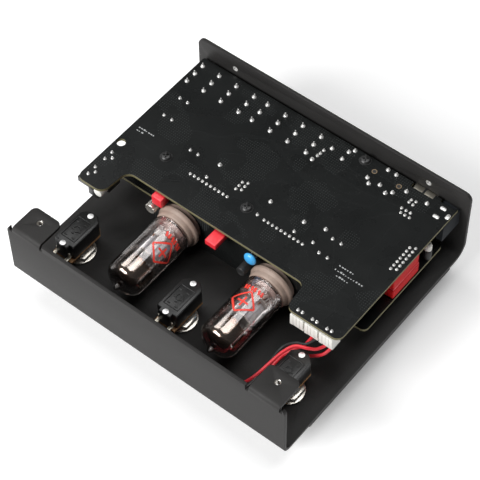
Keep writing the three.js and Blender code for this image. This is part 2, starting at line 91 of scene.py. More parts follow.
MAIN_TOP = drawn("main_board")[1][2]
VALVE_SEAT = drawn("valve_socket_left")[1][1]
VALVE_Z = middle("valve_glass_left")[2]
VALVE_X = {which: middle("valve_glass_" + which)[0] for which in ("left", "right")}
FOOT_X = {which: middle("footswitch_cap_" + which)[0] for which in ("left", "middle", "right")}
FOOT_Y = middle("footswitch_cap_left")[1]
FOOT_TOP = drawn("footswitch_housing_left")[1][2]
JACK_X = [middle("jack_%d" % number)[0] for number in range(1, 5)]
KNOB_X = [middle("potentiometer_%d" % number)[0] for number in range(1, 7)]
KNOB_Y = middle("potentiometer_1")[1]
COVER_NUTS = ((-71.1, -62.1), (71.1, -62.1))  # (x, y) in the tabs
COVER_HOLES = ((-59.2, 52.2), (59.2, 52.2))  # (x, z) in the rear wall
DATA_JACK_PEGS = ((33.4, 62.6), (48.0, 62.4))
TRIMMER = (76.4, 47.6)


# ---- Settings ------------------------------------------------------------------------------------


def length(name, default, description):
    return FloatProperty(
        name=name, default=default * MM, description=description, unit="LENGTH", min=0.0, precision=5
    )


def colour(name, default, description):
    return FloatVectorProperty(
        name=name, default=default, description=description, subtype="COLOR", size=3, min=0.0, max=1.0
    )


class AMP_PG_sizes(PropertyGroup):
    joint_radius: length("Solder joint radius", 1.25, "Radius of a large solder joint's foot")
    joint_height: length("Solder joint height", 1.25, "Height of a large solder joint's cone")
    lead_radius: length("Lead radius", 0.42, "Radius of a component lead standing out of its joint")
    lead_height: length("Lead height", 2.3, "Height of a long lead above the board")
    glass_wall: length("Glass wall", 0.7, "Thickness of a valve's glass")
    pin_radius: length("Valve pin radius", 0.5, "Radius of a valve's base pins")
    wire_radius: length("Wire radius", 0.8, "Radius of a red hook-up wire")
    edge_radius: length("Edge radius", 0.35, "Rounding of the steel's edges")
    rivet_radius: length("Rivet radius", 1.6, "Radius of a footswitch's rivets")
    grip_radius: length("Grip rib radius", 0.45, "Radius of the ribs round a knob")


class AMP_PG_colours(PropertyGroup):
    coat: colour("Powder coat", (0.0222, 0.0213, 0.0206), "Chassis finish")
    mask: colour("Solder mask", (0.0078, 0.0086, 0.0085), "Circuit board faces")
    fibre: colour("Board edge", (0.21, 0.19, 0.10), "Cut edges of the circuit boards")
    ceramic: colour("Socket ceramic", (0.33, 0.245, 0.20), "Valve sockets")
    red: colour("Red plastic", (0.80, 0.035, 0.05), "Film capacitors and board connector")
    blue: colour("Blue coating", (0.07, 0.42, 0.85), "Disc capacitor")
    wire: colour("Wire", (0.78, 0.035, 0.05), "Insulation of the hook-up wires")
    white: colour("White plastic", (0.82, 0.81, 0.76), "Wire connectors")
    mark: colour("Valve marking", (0.85, 0.06, 0.04), "Generic marks printed on the valves")


# ---- Nodes ---------------------------------------------------------------------------------------


class Value:
    """One output socket, which arithmetic can be written with."""

    def __init__(self, graph, node, socket):
        self.graph = graph
        self.node = node
        self.socket = socket

    def out(self, key):
        return Value(self.graph, self.node, self.node.outputs[key])

    def maths(self, operation, *others, swap=False):
        terms = [self, *others]
        if swap:
            terms.reverse()
        return self.graph.node("ShaderNodeMath", {"operation": operation}, dict(enumerate(terms)))

    def __add__(self, other):
        return self.maths("ADD", other)

    __radd__ = __add__

    def __mul__(self, other):
        return self.maths("MULTIPLY", other)

    __rmul__ = __mul__

    def __sub__(self, other):
        return self.maths("SUBTRACT", other)

    def __rsub__(self, other):
        return self.maths("SUBTRACT", other, swap=True)

    def __truediv__(self, other):
        return self.maths("DIVIDE", other)

    def __rtruediv__(self, other):
        return self.maths("DIVIDE", other, swap=True)

    def __pow__(self, other):
        return self.maths("POWER", other)

    def __lt__(self, other):
        return self.maths("LESS_THAN", other)

    def __gt__(self, other):
        return self.maths("GREATER_THAN", other)

    def __abs__(self):
        return self.maths("ABSOLUTE")

    def wave(self, pitch):
        """0 at the middle of each pitch, 0.5 at its ends."""
        return abs((self / pitch).maths("FRACT") - 0.5)

    def step(self, low, high):
        """Rises smoothly from 0 at low to 1 at high."""
        settings = {"interpolation_type": "SMOOTHSTEP"}
        return self.graph.node("ShaderNodeMapRange", settings, {"Value": self, 1: low, 2: high})


class Graph:
    """A node tree that nodes are added to by type, settings and inputs."""

    def __init__(self, tree):
        self.tree = tree

    def node(self, kind, settings=None, inputs=None, out=0):
        made = self.tree.nodes.new(kind)
        for name, value in (settings or {}).items():
            setattr(made, name, value)
        for key, value in (inputs or {}).items():
            for one in value if isinstance(value, list) else [value]:
                if isinstance(one, Value):
                    self.tree.links.new(one.socket, made.inputs[key])
                else:
                    made.inputs[key].default_value = one
        return Value(self, made, made.outputs[out] if len(made.outputs) else None)


class Look(Graph):
    """A material."""

    def __init__(self, name):
        self.material = bpy.data.materials.new(name)
        self.material.use_nodes = True
        super().__init__(self.material.node_tree)
        self.tree.nodes.clear()
        self.spot = self.node("ShaderNodeTexCoord", out="Object")

    def noise(self, scale, detail=3.0, roughness=0.5, stretch=None):
        where = self.spot
        if stretch:
            where = self.node("ShaderNodeMapping", None, {"Vector": where, "Scale": stretch})
        inputs = {"Vector": where, "Scale": scale, "Detail": detail, "Roughness": roughness}
        return self.node("ShaderNodeTexNoise", None, inputs)

    def specks(self, scale, size):
        """1 in small round spots scattered through space."""
        inputs = {"Vector": self.spot, "Scale": scale}
        return self.node("ShaderNodeTexVoronoi", None, inputs, "Distance") < size

    def axes(self):
        """The place's X, Y and Z."""
        split = self.node("ShaderNodeSeparateXYZ", None, {0: self.spot})
        return split, split.out(1), split.out(2)

    def facing(self, axis):
        """How squarely a face looks along an axis, from 0 to 1."""
        normal = self.node("ShaderNodeNewGeometry", out="True Normal")
        return abs(self.node("ShaderNodeSeparateXYZ", None, {0: normal}, axis))

    def mix(self, factor, one, other):
        inputs = {0: factor, 6: opaque(one), 7: opaque(other)}
        return self.node("ShaderNodeMix", {"data_type": "RGBA"}, inputs, 2)

    def bump(self, height, distance, strength=1.0):
        inputs = {"Height": height, "Distance": distance * MM, "Strength": strength}
        return self.node("ShaderNodeBump", None, inputs)

    def principled(self, inputs):
        return self.node("ShaderNodeBsdfPrincipled", None, inputs)

    def finish(self, shader):
        self.node("ShaderNodeOutputMaterial", None, {"Surface": shader})
        return self.material


def opaque(value):
    """A colour with its alpha, or a link as it is."""
    return value if isinstance(value, Value) else (*value, 1.0)


def scaled(rgb, by):
    """A colour made darker or lighter."""
    return tuple(min(1.0, c * by) for c in rgb)


# ---- Materials -----------------------------------------------------------------------------------


def coated_steel(name, rgb, grain=0.09):
    """Powder coat: fine orange peel with slow changes of tone."""
    look = Look(name)
    peel = look.noise(1500, 2.0)
    cloud = look.noise(45, 4.0)
    base = look.mix(cloud, scaled(rgb, 0.8), scaled(rgb, 1.3))
    rough = 0.42 + 0.14 * cloud + 0.1 * peel
    normal = look.bump(peel, grain)
    inputs = {"Base Color": base, "Roughness": rough, "Specular IOR Level": 0.25, "Normal": normal}
    return look.finish(look.principled(inputs))


def board_finish(name, mask, fibre, axis=2):
    """Black solder mask over copper, with tented vias, track edges and bare glass-fibre edges."""
    look = Look(name)
    x, y, z = look.axes()
    dot = (x.wave(1.27 * MM) ** 2 + y.wave(1.27 * MM) ** 2) < 0.026
    sown = look.noise(38, 2.0) > 0.52
    vias = dot * sown
    tracks = (look.noise(26, 1.0) * 7).wave(1.0) < 0.035
    strips = (look.noise(9, 0.0) * 26).wave(1.0) < 0.09
    cloud = look.noise(60, 5.0)
    dust = look.specks(900, 0.085) * (look.noise(16) > 0.5)
    raised = tracks.maths("MAXIMUM", strips * (look.noise(12, 0.0) > 0.56))
    face = look.mix(cloud, scaled(mask, 0.85), scaled(mask, 1.3))
    face = look.mix(raised * 0.16, face, scaled(mask, 2.2))
    face = look.mix(vias * 0.8, face, scaled(mask, 7.5))
    face = look.mix(dust * 0.5, face, (0.2, 0.2, 0.19))
    layers = z.wave(0.4 * MM)
    edge = look.mix(layers + look.noise(700) * 0.5, scaled(fibre, 0.45), scaled(fibre, 1.25))
    flat = look.facing(axis) > 0.5
    base = look.mix(flat, edge, face)
    rough = (1 - flat) * 0.4 + 0.22 + 0.12 * cloud
    height = raised * 0.5 - vias * 0.7
    normal = look.bump(height * flat, 0.05)
    inputs = {"Base Color": base, "Roughness": rough, "Specular IOR Level": 0.26, "Normal": normal}
    return look.finish(look.principled(inputs))


def metal(name, rgb, rough=0.2, waver=0.12, stretch=None, scale=400, dent=0.02, metallic=1.0):
    """Metal with a fine grain, which may be drawn out along an axis, and a slow tarnish."""
    look = Look(name)
    grain = look.noise(scale, 4.0, 0.6, stretch)
    tarnish = look.noise(120, 3.0)
    base = look.mix(tarnish, scaled(rgb, 0.82), scaled(rgb, 1.08))
    inputs = {
        "Base Color": base,
        "Roughness": rough + waver * grain,
        "Metallic": metallic,
        "Normal": look.bump(grain, dent),
    }
    return look.finish(look.principled(inputs))


def plastic(name, rgb, rough=0.4, grain=0.03, dust=0.0, shine=0.5):
    """Moulded plastic, enamel or ink: fine texture, slow changes of tone and, where asked, dust."""
    look = Look(name)
    texture = look.noise(1800, 2.0)
    cloud = look.noise(90, 3.0)
    base = look.mix(cloud, scaled(rgb, 0.88), scaled(rgb, 1.12))
    if dust:
        base = look.mix(look.specks(1300, 0.1) * dust, base, (0.25, 0.24, 0.22))
    inputs = {
        "Base Color": base,
        "Roughness": rough + 0.15 * (cloud - 0.5),
        "Specular IOR Level": shine,
        "Normal": look.bump(texture, grain),
    }
    return look.finish(look.principled(inputs))


def ceramic_finish(name, rgb):
    """Unglazed ceramic with blotches and small dark pits."""
    look = Look(name)
    blotch = look.noise(210, 5.0, 0.65)
    pits = look.specks(1500, 0.16)
    base = look.mix(blotch, scaled(rgb, 0.62), scaled(rgb, 1.3))
    base = look.mix(pits * 0.5, base, scaled(rgb, 0.4))
    rough = 0.38 + 0.25 * blotch
    normal = look.bump(blotch - pits * 0.6, 0.08)
    return look.finish(look.principled({"Base Color": base, "Roughness": rough, "Normal": normal}))


def glass_finish(name):
    """Thin clear glass: see-through, with reflections that grow towards the rims and ripples at the base."""
    look = Look(name)
    _, y, _ = look.axes()
    base_zone = y.step(-30 * MM, -25 * MM)
    ripple = look.noise(350, 3.0, 0.6)
    normal = look.bump(ripple * (base_zone * 0.97 + 0.03), 0.7)
    edge = look.node("ShaderNodeLayerWeight", None, {"Blend": 0.32, "Normal": normal}, "Fresnel")
    clear = look.node("ShaderNodeBsdfTransparent", None, {"Color": (0.985, 0.975, 0.972, 1.0)})
    shine = {"Color": (0.96, 0.93, 0.92, 1.0), "Roughness": 0.035, "Normal": normal}
    gloss = look.node("ShaderNodeBsdfGlossy", None, shine)
    factor = (edge * 0.82 + 0.04).maths("MINIMUM", 0.85)
    return look.finish(look.node("ShaderNodeMixShader", None, {0: factor, 1: clear, 2: gloss}))


def getter_finish(name):
    """Mirror of vaporised metal in the valve's end: dark over the dome, silver with streaks along the axis,
    then a fading brown rim. The streaks are partly an uneven deposit and partly painted reflection bands.
    """
    look = Look(name)
    _, y, _ = look.axes()
    uneven = look.noise(150, 3.0)
    along = y + (uneven - 0.5) * 3.2 * MM
    dome = along.step(-57.4 * MM, -54.0 * MM)
    rim = along.step(-47.2 * MM, -44.4 * MM)
    # Streaks along the valve's axis: partly an uneven deposit, partly painted reflection bands of the lamps
    # in the silver mirror.
    deposit_and_reflection_streak = look.noise(240, 4.0, 0.6, (1, 0.08, 1))
    silver = look.mix(deposit_and_reflection_streak, (0.12, 0.09, 0.075), (0.46, 0.38, 0.31))
    base = look.mix(dome, (0.07, 0.035, 0.025), silver)
    base = look.mix(rim, base, (0.22, 0.12, 0.08))
    alpha = 1 - along.step(-45.0 * MM, -43.4 * MM)
    inputs = {
        "Base Color": base,
        "Metallic": 0.85,
        "Roughness": 0.09 + 0.12 * deposit_and_reflection_streak,
        "Normal": look.bump(deposit_and_reflection_streak, 0.35),
        "Alpha": alpha,
    }
    return look.finish(look.principled(inputs))


def mica_finish(name):
    """Flaky, partly clear mineral sheet."""
    look = Look(name)
    flake = look.noise(420, 4.0, 0.65, (1, 6, 1))
    base = look.mix(flake, (0.66, 0.58, 0.54), (0.96, 0.93, 0.90))
    inputs = {
        "Base Color": base,
        "Roughness": 0.25,
        "Alpha": 0.74 + 0.24 * flake,
        "Normal": look.bump(flake, 0.05),
    }
    return look.finish(look.principled(inputs))


def fibre_finish(name, rgb):
    """Brown laminate with strands that show at its cut faces."""
    look = Look(name)
    strands = look.noise(900, 4.0, 0.7, (1, 1, 5))
    base = look.mix(strands, scaled(rgb, 0.55), scaled(rgb, 1.5))
    inputs = {"Base Color": base, "Roughness": 0.55, "Normal": look.bump(strands, 0.04)}
    return look.finish(look.principled(inputs))


def floor_finish(name):
    look = Look(name)
    tone = look.noise(6, 2.0)
    base = look.mix(tone, (0.90, 0.90, 0.90), (0.93, 0.93, 0.93))
    inputs = {
        "Base Color": base,
        "Roughness": 0.9,
        "Specular IOR Level": 0.1,
        "Emission Color": (1.0, 1.0, 1.0, 1.0),
        "Emission Strength": 0.24,
    }
    return look.finish(look.principled(inputs))


_made = {}


def finish(name):
    """The named material, made on first use."""
    if name in _made:
        return _made[name]
    paint = bpy.context.scene.amp_colours
    makers = {
        "powder_coat": lambda: coated_steel(name, tuple(paint.coat)),
        "face_coat": lambda: coated_steel(name, scaled(tuple(paint.coat), 1.25), 0.05),
        "board": lambda: board_finish(name, tuple(paint.mask), tuple(paint.fibre)),
        "upright_board": lambda: board_finish(name, tuple(paint.mask), tuple(paint.fibre), 1),
        "solder": lambda: metal(name, (0.86, 0.85, 0.83), 0.2, 0.16, scale=700, dent=0.05, metallic=0.6),
        "plated": lambda: metal(name, (0.62, 0.59, 0.54), 0.2, 0.14, metallic=0.75),
        "bright_wire": lambda: metal(name, (0.93, 0.90, 0.89), 0.2, 0.1, metallic=0.4),
        "peg_rim": lambda: plastic(name, (0.22, 0.16, 0.10), 0.5, 0.05, shine=0.2),
        "rivet": lambda: metal(name, (0.97, 0.96, 0.95), 0.34, 0.12),
        "dark_steel": lambda: metal(name, (0.05, 0.05, 0.05), 0.3, 0.2, metallic=0.6),
        "tinned_shell": lambda: metal(name, (0.63, 0.59, 0.50), 0.3, 0.15, (1, 12, 1)),
        "anode": lambda: metal(name, (0.82, 0.82, 0.86), 0.34, 0.2, (1, 0.15, 1), scale=500, metallic=0.22),
        "copper": lambda: metal(name, (0.75, 0.40, 0.28), 0.22, 0.15),
        "black": lambda: plastic(name, (0.012, 0.012, 0.012), 0.33, 0.05, dust=0.35),
        "matte_black": lambda: plastic(name, (0.018, 0.018, 0.018), 0.55, 0.08),
        "body_grey": lambda: plastic(name, (0.030, 0.033, 0.037), 0.6, 0.04, shine=0.05),
        "red_body": lambda: plastic(name, tuple(paint.red), 0.30, 0.03),
        "red_shell": lambda: plastic(name, (0.60, 0.014, 0.016), 0.4, 0.03, shine=0.04),
        "board_ink": lambda: plastic(name, (0.42, 0.43, 0.43), 0.5, 0.03),
        "blue_body": lambda: plastic(name, tuple(paint.blue), 0.22, 0.02),
        "white_body": lambda: plastic(name, tuple(paint.white), 0.42, 0.03),
        "pink_ceramic": lambda: plastic(name, (0.80, 0.60, 0.55), 0.5, 0.05),
        "red_wire": lambda: plastic(name, tuple(paint.wire), 0.36, 0.02),
        "grey_wire": lambda: plastic(name, (0.04, 0.042, 0.042), 0.4, 0.02),
        "mark": lambda: plastic(name, tuple(paint.mark), 0.38, 0.02),
        "ceramic": lambda: ceramic_finish(name, tuple(paint.ceramic)),
        "glass": lambda: glass_finish(name),
        "getter": lambda: getter_finish(name),
        "mica": lambda: mica_finish(name),
        "fibre": lambda: fibre_finish(name, (0.34, 0.17, 0.06)),
        "floor": lambda: floor_finish(name),
    }
    _made[name] = makers[name]()
    return _made[name]


# ---- Meshes --------------------------------------------------------------------------------------

# How a flat outline's two numbers and a height lie along each axis.
TURNS = {
    "Z": lambda a, b, h: (a, b, h),
    "Y": lambda a, b, h: (a, h, b),
    "X": lambda a, b, h: (h, a, b),
}


def rounded(xs, ys, radius, steps=5):
    """Outline of a rectangle with round corners."""
    x0, x1 = xs[0] + radius, xs[1] - radius
    y0, y1 = ys[0] + radius, ys[1] - radius
    centres = [(x1, y1), (x0, y1), (x0, y0), (x1, y0)]
    points = []
    for quarter, (cx, cy) in enumerate(centres):
        for i in range(steps + 1):
            angle = math.pi / 2 * (quarter + i / steps)
            points.append((cx + radius * math.cos(angle), cy + radius * math.sin(angle)))
    return points


def ring_of(count, radius, centre=(0, 0), turn=0.0):
    """Points evenly round a circle."""
    angles = [2 * math.pi * i / count + turn for i in range(count)]
    return [(centre[0] + radius * math.cos(a), centre[1] + radius * math.sin(a)) for a in angles]


def curve_through(points, steps=7):
    """Catmull-Rom points through the given ones."""
    p = [Vector(q) for q in points]
    p = [p[0] * 2 - p[1], *p, p[-1] * 2 - p[-2]]
    result = []
    for a, b, c, d in zip(p, p[1:], p[2:], p[3:]):
        for i in range(steps):
            t = i / steps
            result.append(
                0.5
                * (2 * b + (c - a) * t + (2 * a - 5 * b + 4 * c - d) * t * t + (3 * b - a - 3 * c + d) * t**3)
            )
    return [*result, p[-2]]


class Shape:
    """Collects closed bodies in millimetres, and turns them into one piece."""

    def __init__(self):
        self.mesh = bmesh.new()

    def add(self, points, faces):
        corners = [self.mesh.verts.new(p) for p in points]
        for face in faces:
            self.mesh.faces.new([corners[i] for i in face])
        return self

    def prism(self, outline, span, axis="Z"):
        n = len(outline)
        points = [TURNS[axis](a, b, h) for h in span for a, b in outline]
        sides = [(i, (i + 1) % n, n + (i + 1) % n, n + i) for i in range(n)]
        return self.add(points, [tuple(range(n))[::-1], tuple(range(n, 2 * n)), *sides])

    def block(self, xs, ys, zs):
        return self.prism([(xs[0], ys[0]), (xs[1], ys[0]), (xs[1], ys[1]), (xs[0], ys[1])], zs)

    def lathe(self, profile, centre=(0, 0), axis="Z", sides=48, ring=False):
        """Turns (radius, height) points about an axis. A ring's profile closes on itself."""
        rows = []
        points = []
        for radius, height in profile:
            if radius < 1e-6:
                rows.append([len(points)] * sides)
                points.append(TURNS[axis](centre[0], centre[1], height))
                continue
            rows.append(list(range(len(points), len(points) + sides)))
            points += [TURNS[axis](a, b, height) for a, b in ring_of(sides, radius, centre)]
        faces = []
        for low, high in zip(rows, rows[1:] + ([rows[0]] if ring else [])):
            for i in range(sides):
                j = (i + 1) % sides
                face = list(dict.fromkeys((low[i], low[j], high[j], high[i])))
                if len(face) > 2:
                    faces.append(tuple(face))
        if not ring:
            for row in (rows[0], rows[-1]):
                if len(set(row)) > 1:
                    faces.append(tuple(row))
        return self.add(points, faces)

    def rod(self, a, b, radius, sides=12):
        return self.tube([Vector(a), Vector(b)], radius, sides)

    def tube(self, path, radius, sides=12):
        """A round tube along a path, without twist."""
        path = [Vector(p) for p in path]
        rows = []
        points = []
        side = None
        for i, here in enumerate(path):
            along = (path[min(i + 1, len(path) - 1)] - path[max(i - 1, 0)]).normalized()
            if side is None:
                side = along.orthogonal().normalized()
            side = (side - along * side.dot(along)).normalized()
            up = along.cross(side)
            rows.append(range(len(points), len(points) + sides))
            points += [here + side * a + up * b for a, b in ring_of(sides, radius)]
        faces = [tuple(rows[0])[::-1], tuple(rows[-1])]
        for low, high in zip(rows, rows[1:]):
            faces += [(low[i], low[(i + 1) % sides], high[(i + 1) % sides], high[i]) for i in range(sides)]
        return self.add(points, faces)

    def made(self, name, material, **options):
        for vertex in self.mesh.verts:
            vertex.co = place(vertex.co)
        bmesh.ops.recalc_face_normals(self.mesh, faces=self.mesh.faces)
        mesh = bpy.data.meshes.new(name)
        self.mesh.to_mesh(mesh)
        self.mesh.free()
        return settle(mesh, name, material, **options)


def settle(mesh, name, material, body="unit", bevel=0.0, segments=2, sharp=35, hides=(), slot=None):
    """Makes a mesh a finished piece: bevelled, smooth, coloured and riding on its body."""
    piece = bpy.data.objects.new(name, mesh)
    bpy.context.scene.collection.objects.link(piece)
    if bevel:
        edge = piece.modifiers.new("edge", "BEVEL")
        edge.width = bevel * MM
        edge.segments = segments
        edge.limit_method = "ANGLE"
        edge.angle_limit = math.radians(40)
        bake_modifiers(piece)
    piece.data.shade_smooth()
    piece.data.set_sharp_from_angle(angle=math.radians(sharp))
    piece.data.materials.clear()
    piece.data.materials.append(finish(material))
    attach(piece, body)
    if hides:
        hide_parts(*hides)
    return piece


def bake_modifiers(piece):
    """Replaces a piece's mesh by what its modifiers make of it, and removes them."""
    bpy.context.view_layer.update()
    graph = bpy.context.evaluated_depsgraph_get()
    mesh = bpy.data.meshes.new_from_object(piece.evaluated_get(graph))
    piece.modifiers.clear()
    piece.data = mesh


def refined(node, name, material, bevel=0.25, **options):
    """A copy of a CAD node with joined faces, rounded edges and a better finish, in that node's place."""
    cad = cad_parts[node]
    work = bmesh.new()
    work.from_mesh(cad.data)
    bmesh.ops.remove_doubles(work, verts=work.verts, dist=2e-6)
    flat = math.radians(1.0)
    bmesh.ops.dissolve_limit(work, angle_limit=flat, verts=work.verts, edges=work.edges, delimit={"NORMAL"})
    mesh = bpy.data.meshes.new(name)
    work.to_mesh(mesh)
    work.free()
    if "custom_normal" in mesh.attributes:
        mesh.attributes.remove(mesh.attributes["custom_normal"])
    return settle(mesh, name, material, bevel=bevel, hides=(node,), **options)


# ---- Geometry Nodes ------------------------------------------------------------------------------


class Scatter(Graph):
    """A Geometry Nodes tree that puts one form on every point of a mesh."""

    def __init__(self, name, sizes):
        super().__init__(bpy.data.node_groups.new(name, "GeometryNodeTree"))
        face = self.tree.interface
        face.new_socket("Geometry", in_out="INPUT", socket_type="NodeSocketGeometry")
        face.new_socket("Geometry", in_out="OUTPUT", socket_type="NodeSocketGeometry")
        self.sizes = sizes
        for label, value in sizes.items():
            face.new_socket(label, in_out="INPUT", socket_type="NodeSocketFloat").default_value = value
        self.inputs = self.node("NodeGroupInput")

    def size(self, label):
        return self.inputs.out(label)

    def cone(self, low, high, height, sides=16):
        inputs = {"Vertices": sides, "Radius Bottom": low, "Radius Top": high, "Depth": height}
        return self.node("GeometryNodeMeshCone", None, inputs, "Mesh")

    def cube(self, x, y, z):
        size = self.node("ShaderNodeCombineXYZ", None, {0: x, 1: y, 2: z})
        return self.node("GeometryNodeMeshCube", None, {"Size": size}, "Mesh")

    def raised(self, geometry, z):
        shift = self.node("ShaderNodeCombineXYZ", None, {2: z})
        return self.node("GeometryNodeTransform", None, {"Geometry": geometry, "Translation": shift})

    def joined(self, *parts):
        return self.node("GeometryNodeJoinGeometry", None, {0: list(parts)[::-1]})

    def close(self, form, material, turn=None, seed=None, sway=0.0):
        """Instances the form on the points, turned by a vector or by a random sway, and ends the tree."""
        inputs = {"Points": self.inputs, "Instance": form}
        if seed is not None:
            low, high = (-sway, -sway, -math.pi), (sway, sway, math.pi)
            settings = {"data_type": "FLOAT_VECTOR"}
            turn = self.node("FunctionNodeRandomValue", settings, {0: low, 1: high, "Seed": seed})
        if turn is not None:
            inputs["Rotation"] = turn
        placed = self.node("GeometryNodeInstanceOnPoints", None, inputs)
        real = self.node("GeometryNodeRealizeInstances", None, {0: placed})
        done = self.node("GeometryNodeSetMaterial", None, {0: real, "Material": finish(material)})
        self.node("NodeGroupOutput", None, {0: done})
        self.material = material

    def made(self, name, points, sharp=50, **options):
        mesh = bpy.data.meshes.new(name)
        mesh.from_pydata([place(p) for p in points], [], [])
        carrier = bpy.data.objects.new(name + "_points", mesh)
        bpy.context.scene.collection.objects.link(carrier)
        modifier = carrier.modifiers.new("scatter", "NODES")
        modifier.node_group = self.tree
        for item in self.tree.interface.items_tree:
            if item.in_out == "INPUT" and item.name in self.sizes:
                modifier[item.identifier] = self.sizes[item.name]
        bake_modifiers(carrier)
        result = carrier.data
        bpy.data.objects.remove(carrier)
        return settle(result, name, self.material, sharp=sharp, **options)


def joint_tree(name, radius, height, lead_radius, lead_height, sway, seed):
    """A cone of solder on a round pad, with the lead standing out of it."""
    sizes = {
        "Pad Radius": radius,
        "Cone Height": height,
        "Lead Radius": lead_radius,
        "Lead Height": lead_height,
    }
    tree = Scatter(name, sizes)
    pad = tree.size("Pad Radius")
    tall = tree.size("Cone Height")
    lead = tree.size("Lead Radius")
    foot = tree.cone(pad, pad * 0.86, tall * 0.3)
    waist = tree.raised(tree.cone(pad * 0.86, pad * 0.55, tall * 0.35), tall * 0.3)
    neck = tree.raised(tree.cone(pad * 0.55, lead, tall * 0.35), tall * 0.65)
    stem = tree.raised(tree.cone(lead, lead * 0.8, tree.size("Lead Height") - tall * 0.8, 8), tall * 0.8)
    tree.close(tree.joined(foot, waist, neck, stem), "solder", seed=seed, sway=sway)
    return tree


def screw_tree():
    """A cross-head screw on a washer."""
    sizes = {
        "Head Radius": 2.7 * MM,
        "Head Height": 1.5 * MM,
        "Washer Radius": 3.2 * MM,
        "Washer Height": 0.35 * MM,
        "Slot Width": 0.55 * MM,
    }
    tree = Scatter("cross_head_screws", sizes)
    head = tree.size("Head Radius")
    tall = tree.size("Head Height")
    rim = tree.size("Washer Radius")
    seat = tree.size("Washer Height")
    slot = tree.size("Slot Width")
    washer = tree.cone(rim, rim * 0.98, seat, 32)
    skirt = tree.raised(tree.cone(head, head * 0.97, tall * 0.45, 32), seat)
    shoulder = tree.raised(tree.cone(head * 0.97, head * 0.78, tall * 0.35, 32), tall * 0.45 + seat)
    crown = tree.raised(tree.cone(head * 0.78, head * 0.4, tall * 0.2, 32), tall * 0.8 + seat)
    arm = tree.raised(tree.cube(head * 1.15, slot, tall * 1.2), tall + seat)
    other = tree.raised(tree.cube(slot, head * 1.15, tall * 1.2), tall + seat)
    inputs = {"Mesh 1": tree.joined(skirt, shoulder, crown), "Mesh 2": [arm, other]}
    cut = tree.node("GeometryNodeMeshBoolean", {"operation": "DIFFERENCE"}, inputs)
    tree.close(tree.joined(washer, cut), "dark_steel", turn=(0, 0, 0.6))
    return tree


# ---- Operators -----------------------------------------------------------------------------------


class AMP_OT_chassis(Operator):
    """Folded steel chassis and face plate, with rounded edges and a powder coat"""

    bl_idname = "amp.chassis"
    bl_label = "Chassis"

    def execute(self, context):
        refined("chassis", "chassis_steel", "powder_coat", context.scene.amp_sizes.edge_radius / MM)
        refined("face_plate", "face_plate_steel", "face_coat", 0.2)
        dial_marks()
        cover_holes()
        return {"FINISHED"}


def dial_marks():
    """Plain tick marks round each knob, on the outside of the face plate."""
    ticks = Shape()
    for x in KNOB_X:
        for i in range(11):
            angle = math.radians(-240 + 30 * i)
            direction = Vector((math.cos(angle), math.sin(angle), 0))
            across = Vector((-direction.y, direction.x, 0)) * 0.22
            centre = Vector((x, KNOB_Y, 0))
            inner, outer = centre + direction * 8.4, centre + direction * 10.2
            outline = [inner - across, outer - across, outer + across, inner + across]
            ticks.prism([(p.x, p.y) for p in outline], (13.24, 13.32))
    ticks.made("dial_marks", "white_body", slot="white_plastic")


def cover_holes():
    """Pressed nuts in the two tabs, and bright liners in the rear wall, for the cover's screws."""
    nuts = Shape()
    for centre in COVER_NUTS:
        profile = [(1.25, 51.6), (1.55, 51.9), (1.56, 50.28), (2.9, 50.28), (2.9, 48.6), (1.25, 48.6)]
        nuts.lathe(profile, centre, sides=28, ring=True)
    nuts.made("cover_nuts", "plated", sharp=40, slot="bright_nickel")
    liners = Shape()
    for centre in COVER_HOLES:
        profile = [(1.2, 70.9), (1.58, 70.75), (1.58, 72.4), (1.2, 72.4)]
        liners.lathe(profile, centre, "Y", 28, ring=True)
    liners.made("cover_hole_liners", "solder", sharp=40, slot="bright_nickel")


class AMP_OT_boards(Operator):
    """Main, control and valve boards, and the spacers that hold them"""

    bl_idname = "amp.boards"
    bl_label = "Circuit boards"

    def execute(self, context):
        for node, material in (
            ("main_board", "board"),
            ("control_board", "board"),
            ("valve_board", "upright_board"),
        ):
            refined(node, node + "_sheet", material, 0.06, segments=1, slot="solder_mask")
        for which in ("left", "middle", "rear"):
            refined("spacer_" + which, "spacer_%s_hex" % which, "plated", 0.2)
        board_pegs()
        board_print()
        return {"FINISHED"}


def board_pegs():
    """Ends of the data jack's plastic pegs, in their bare-rimmed holes."""
    rims = Shape()
    pegs = Shape()
    radius = 1.0
    foot = MAIN_TOP - 0.01
    for centre in DATA_JACK_PEGS:
        profile = [(radius, foot), (1.4, foot), (1.4, MAIN_TOP + 0.06), (radius, MAIN_TOP + 0.06)]
        rims.lathe(profile, centre, sides=24, ring=True)
        profile = [(0, foot), (radius, foot), (radius, MAIN_TOP + 0.05), (0, MAIN_TOP + 0.05)]
        pegs.lathe(profile, centre, sides=20)
    rims.made("peg_hole_rims", "peg_rim", slot="solder_mask")
    pegs.made("peg_ends", "matte_black", slot="black_plastic")


def board_print():
    """Plain printed dashes on the board, which say nothing."""
    rng = random.Random(11)
    dashes = Shape()
    rows = ((53.4, 7.0, 6), (53.0, 4.1, 11), (55.6, 1.5, 5), (-74.5, 13.4, 7), (-74.3, 11.4, 3))
    for left, y, count in rows:
        for i in range(count):
            x = left + 1.5 * i
            wide = rng.uniform(0.5, 1.1)
            dashes.block((x, x + wide), (y, y + rng.uniform(0.35, 0.85)), (MAIN_TOP, MAIN_TOP + 0.02))
    dashes.made("board_dashes", "board_ink", slot="white_plastic")


# Solder joints on the main board, as (x, y). The long ones are the jacks' leads, in eight groups of three.
LONG = [(x, y) for x in (-75.0, -64.2, -53.1, -41.8, -33.3, -22.0, -11.1, 0.2) for y in (64.0, 57.8, 51.5)]
# Mounting feet, switch terminals and thick leads.
LARGE = [
    (5.1, 50.0), (8.7, 61.4), (18.4, 67.2), (16.5, 64.7), (16.5, 59.2), (52.7, 62.1), (64.6, 62.2),
    (38.1, 67.5), (43.0, 67.5), (32.9, 57.5), (35.5, 54.9), (40.3, 57.5), (45.2, 55.1), (47.8, 57.5),
    (5.3, 17.1), (25.2, 17.3), (35.9, 20.2), (-27.9, 19.7),
]
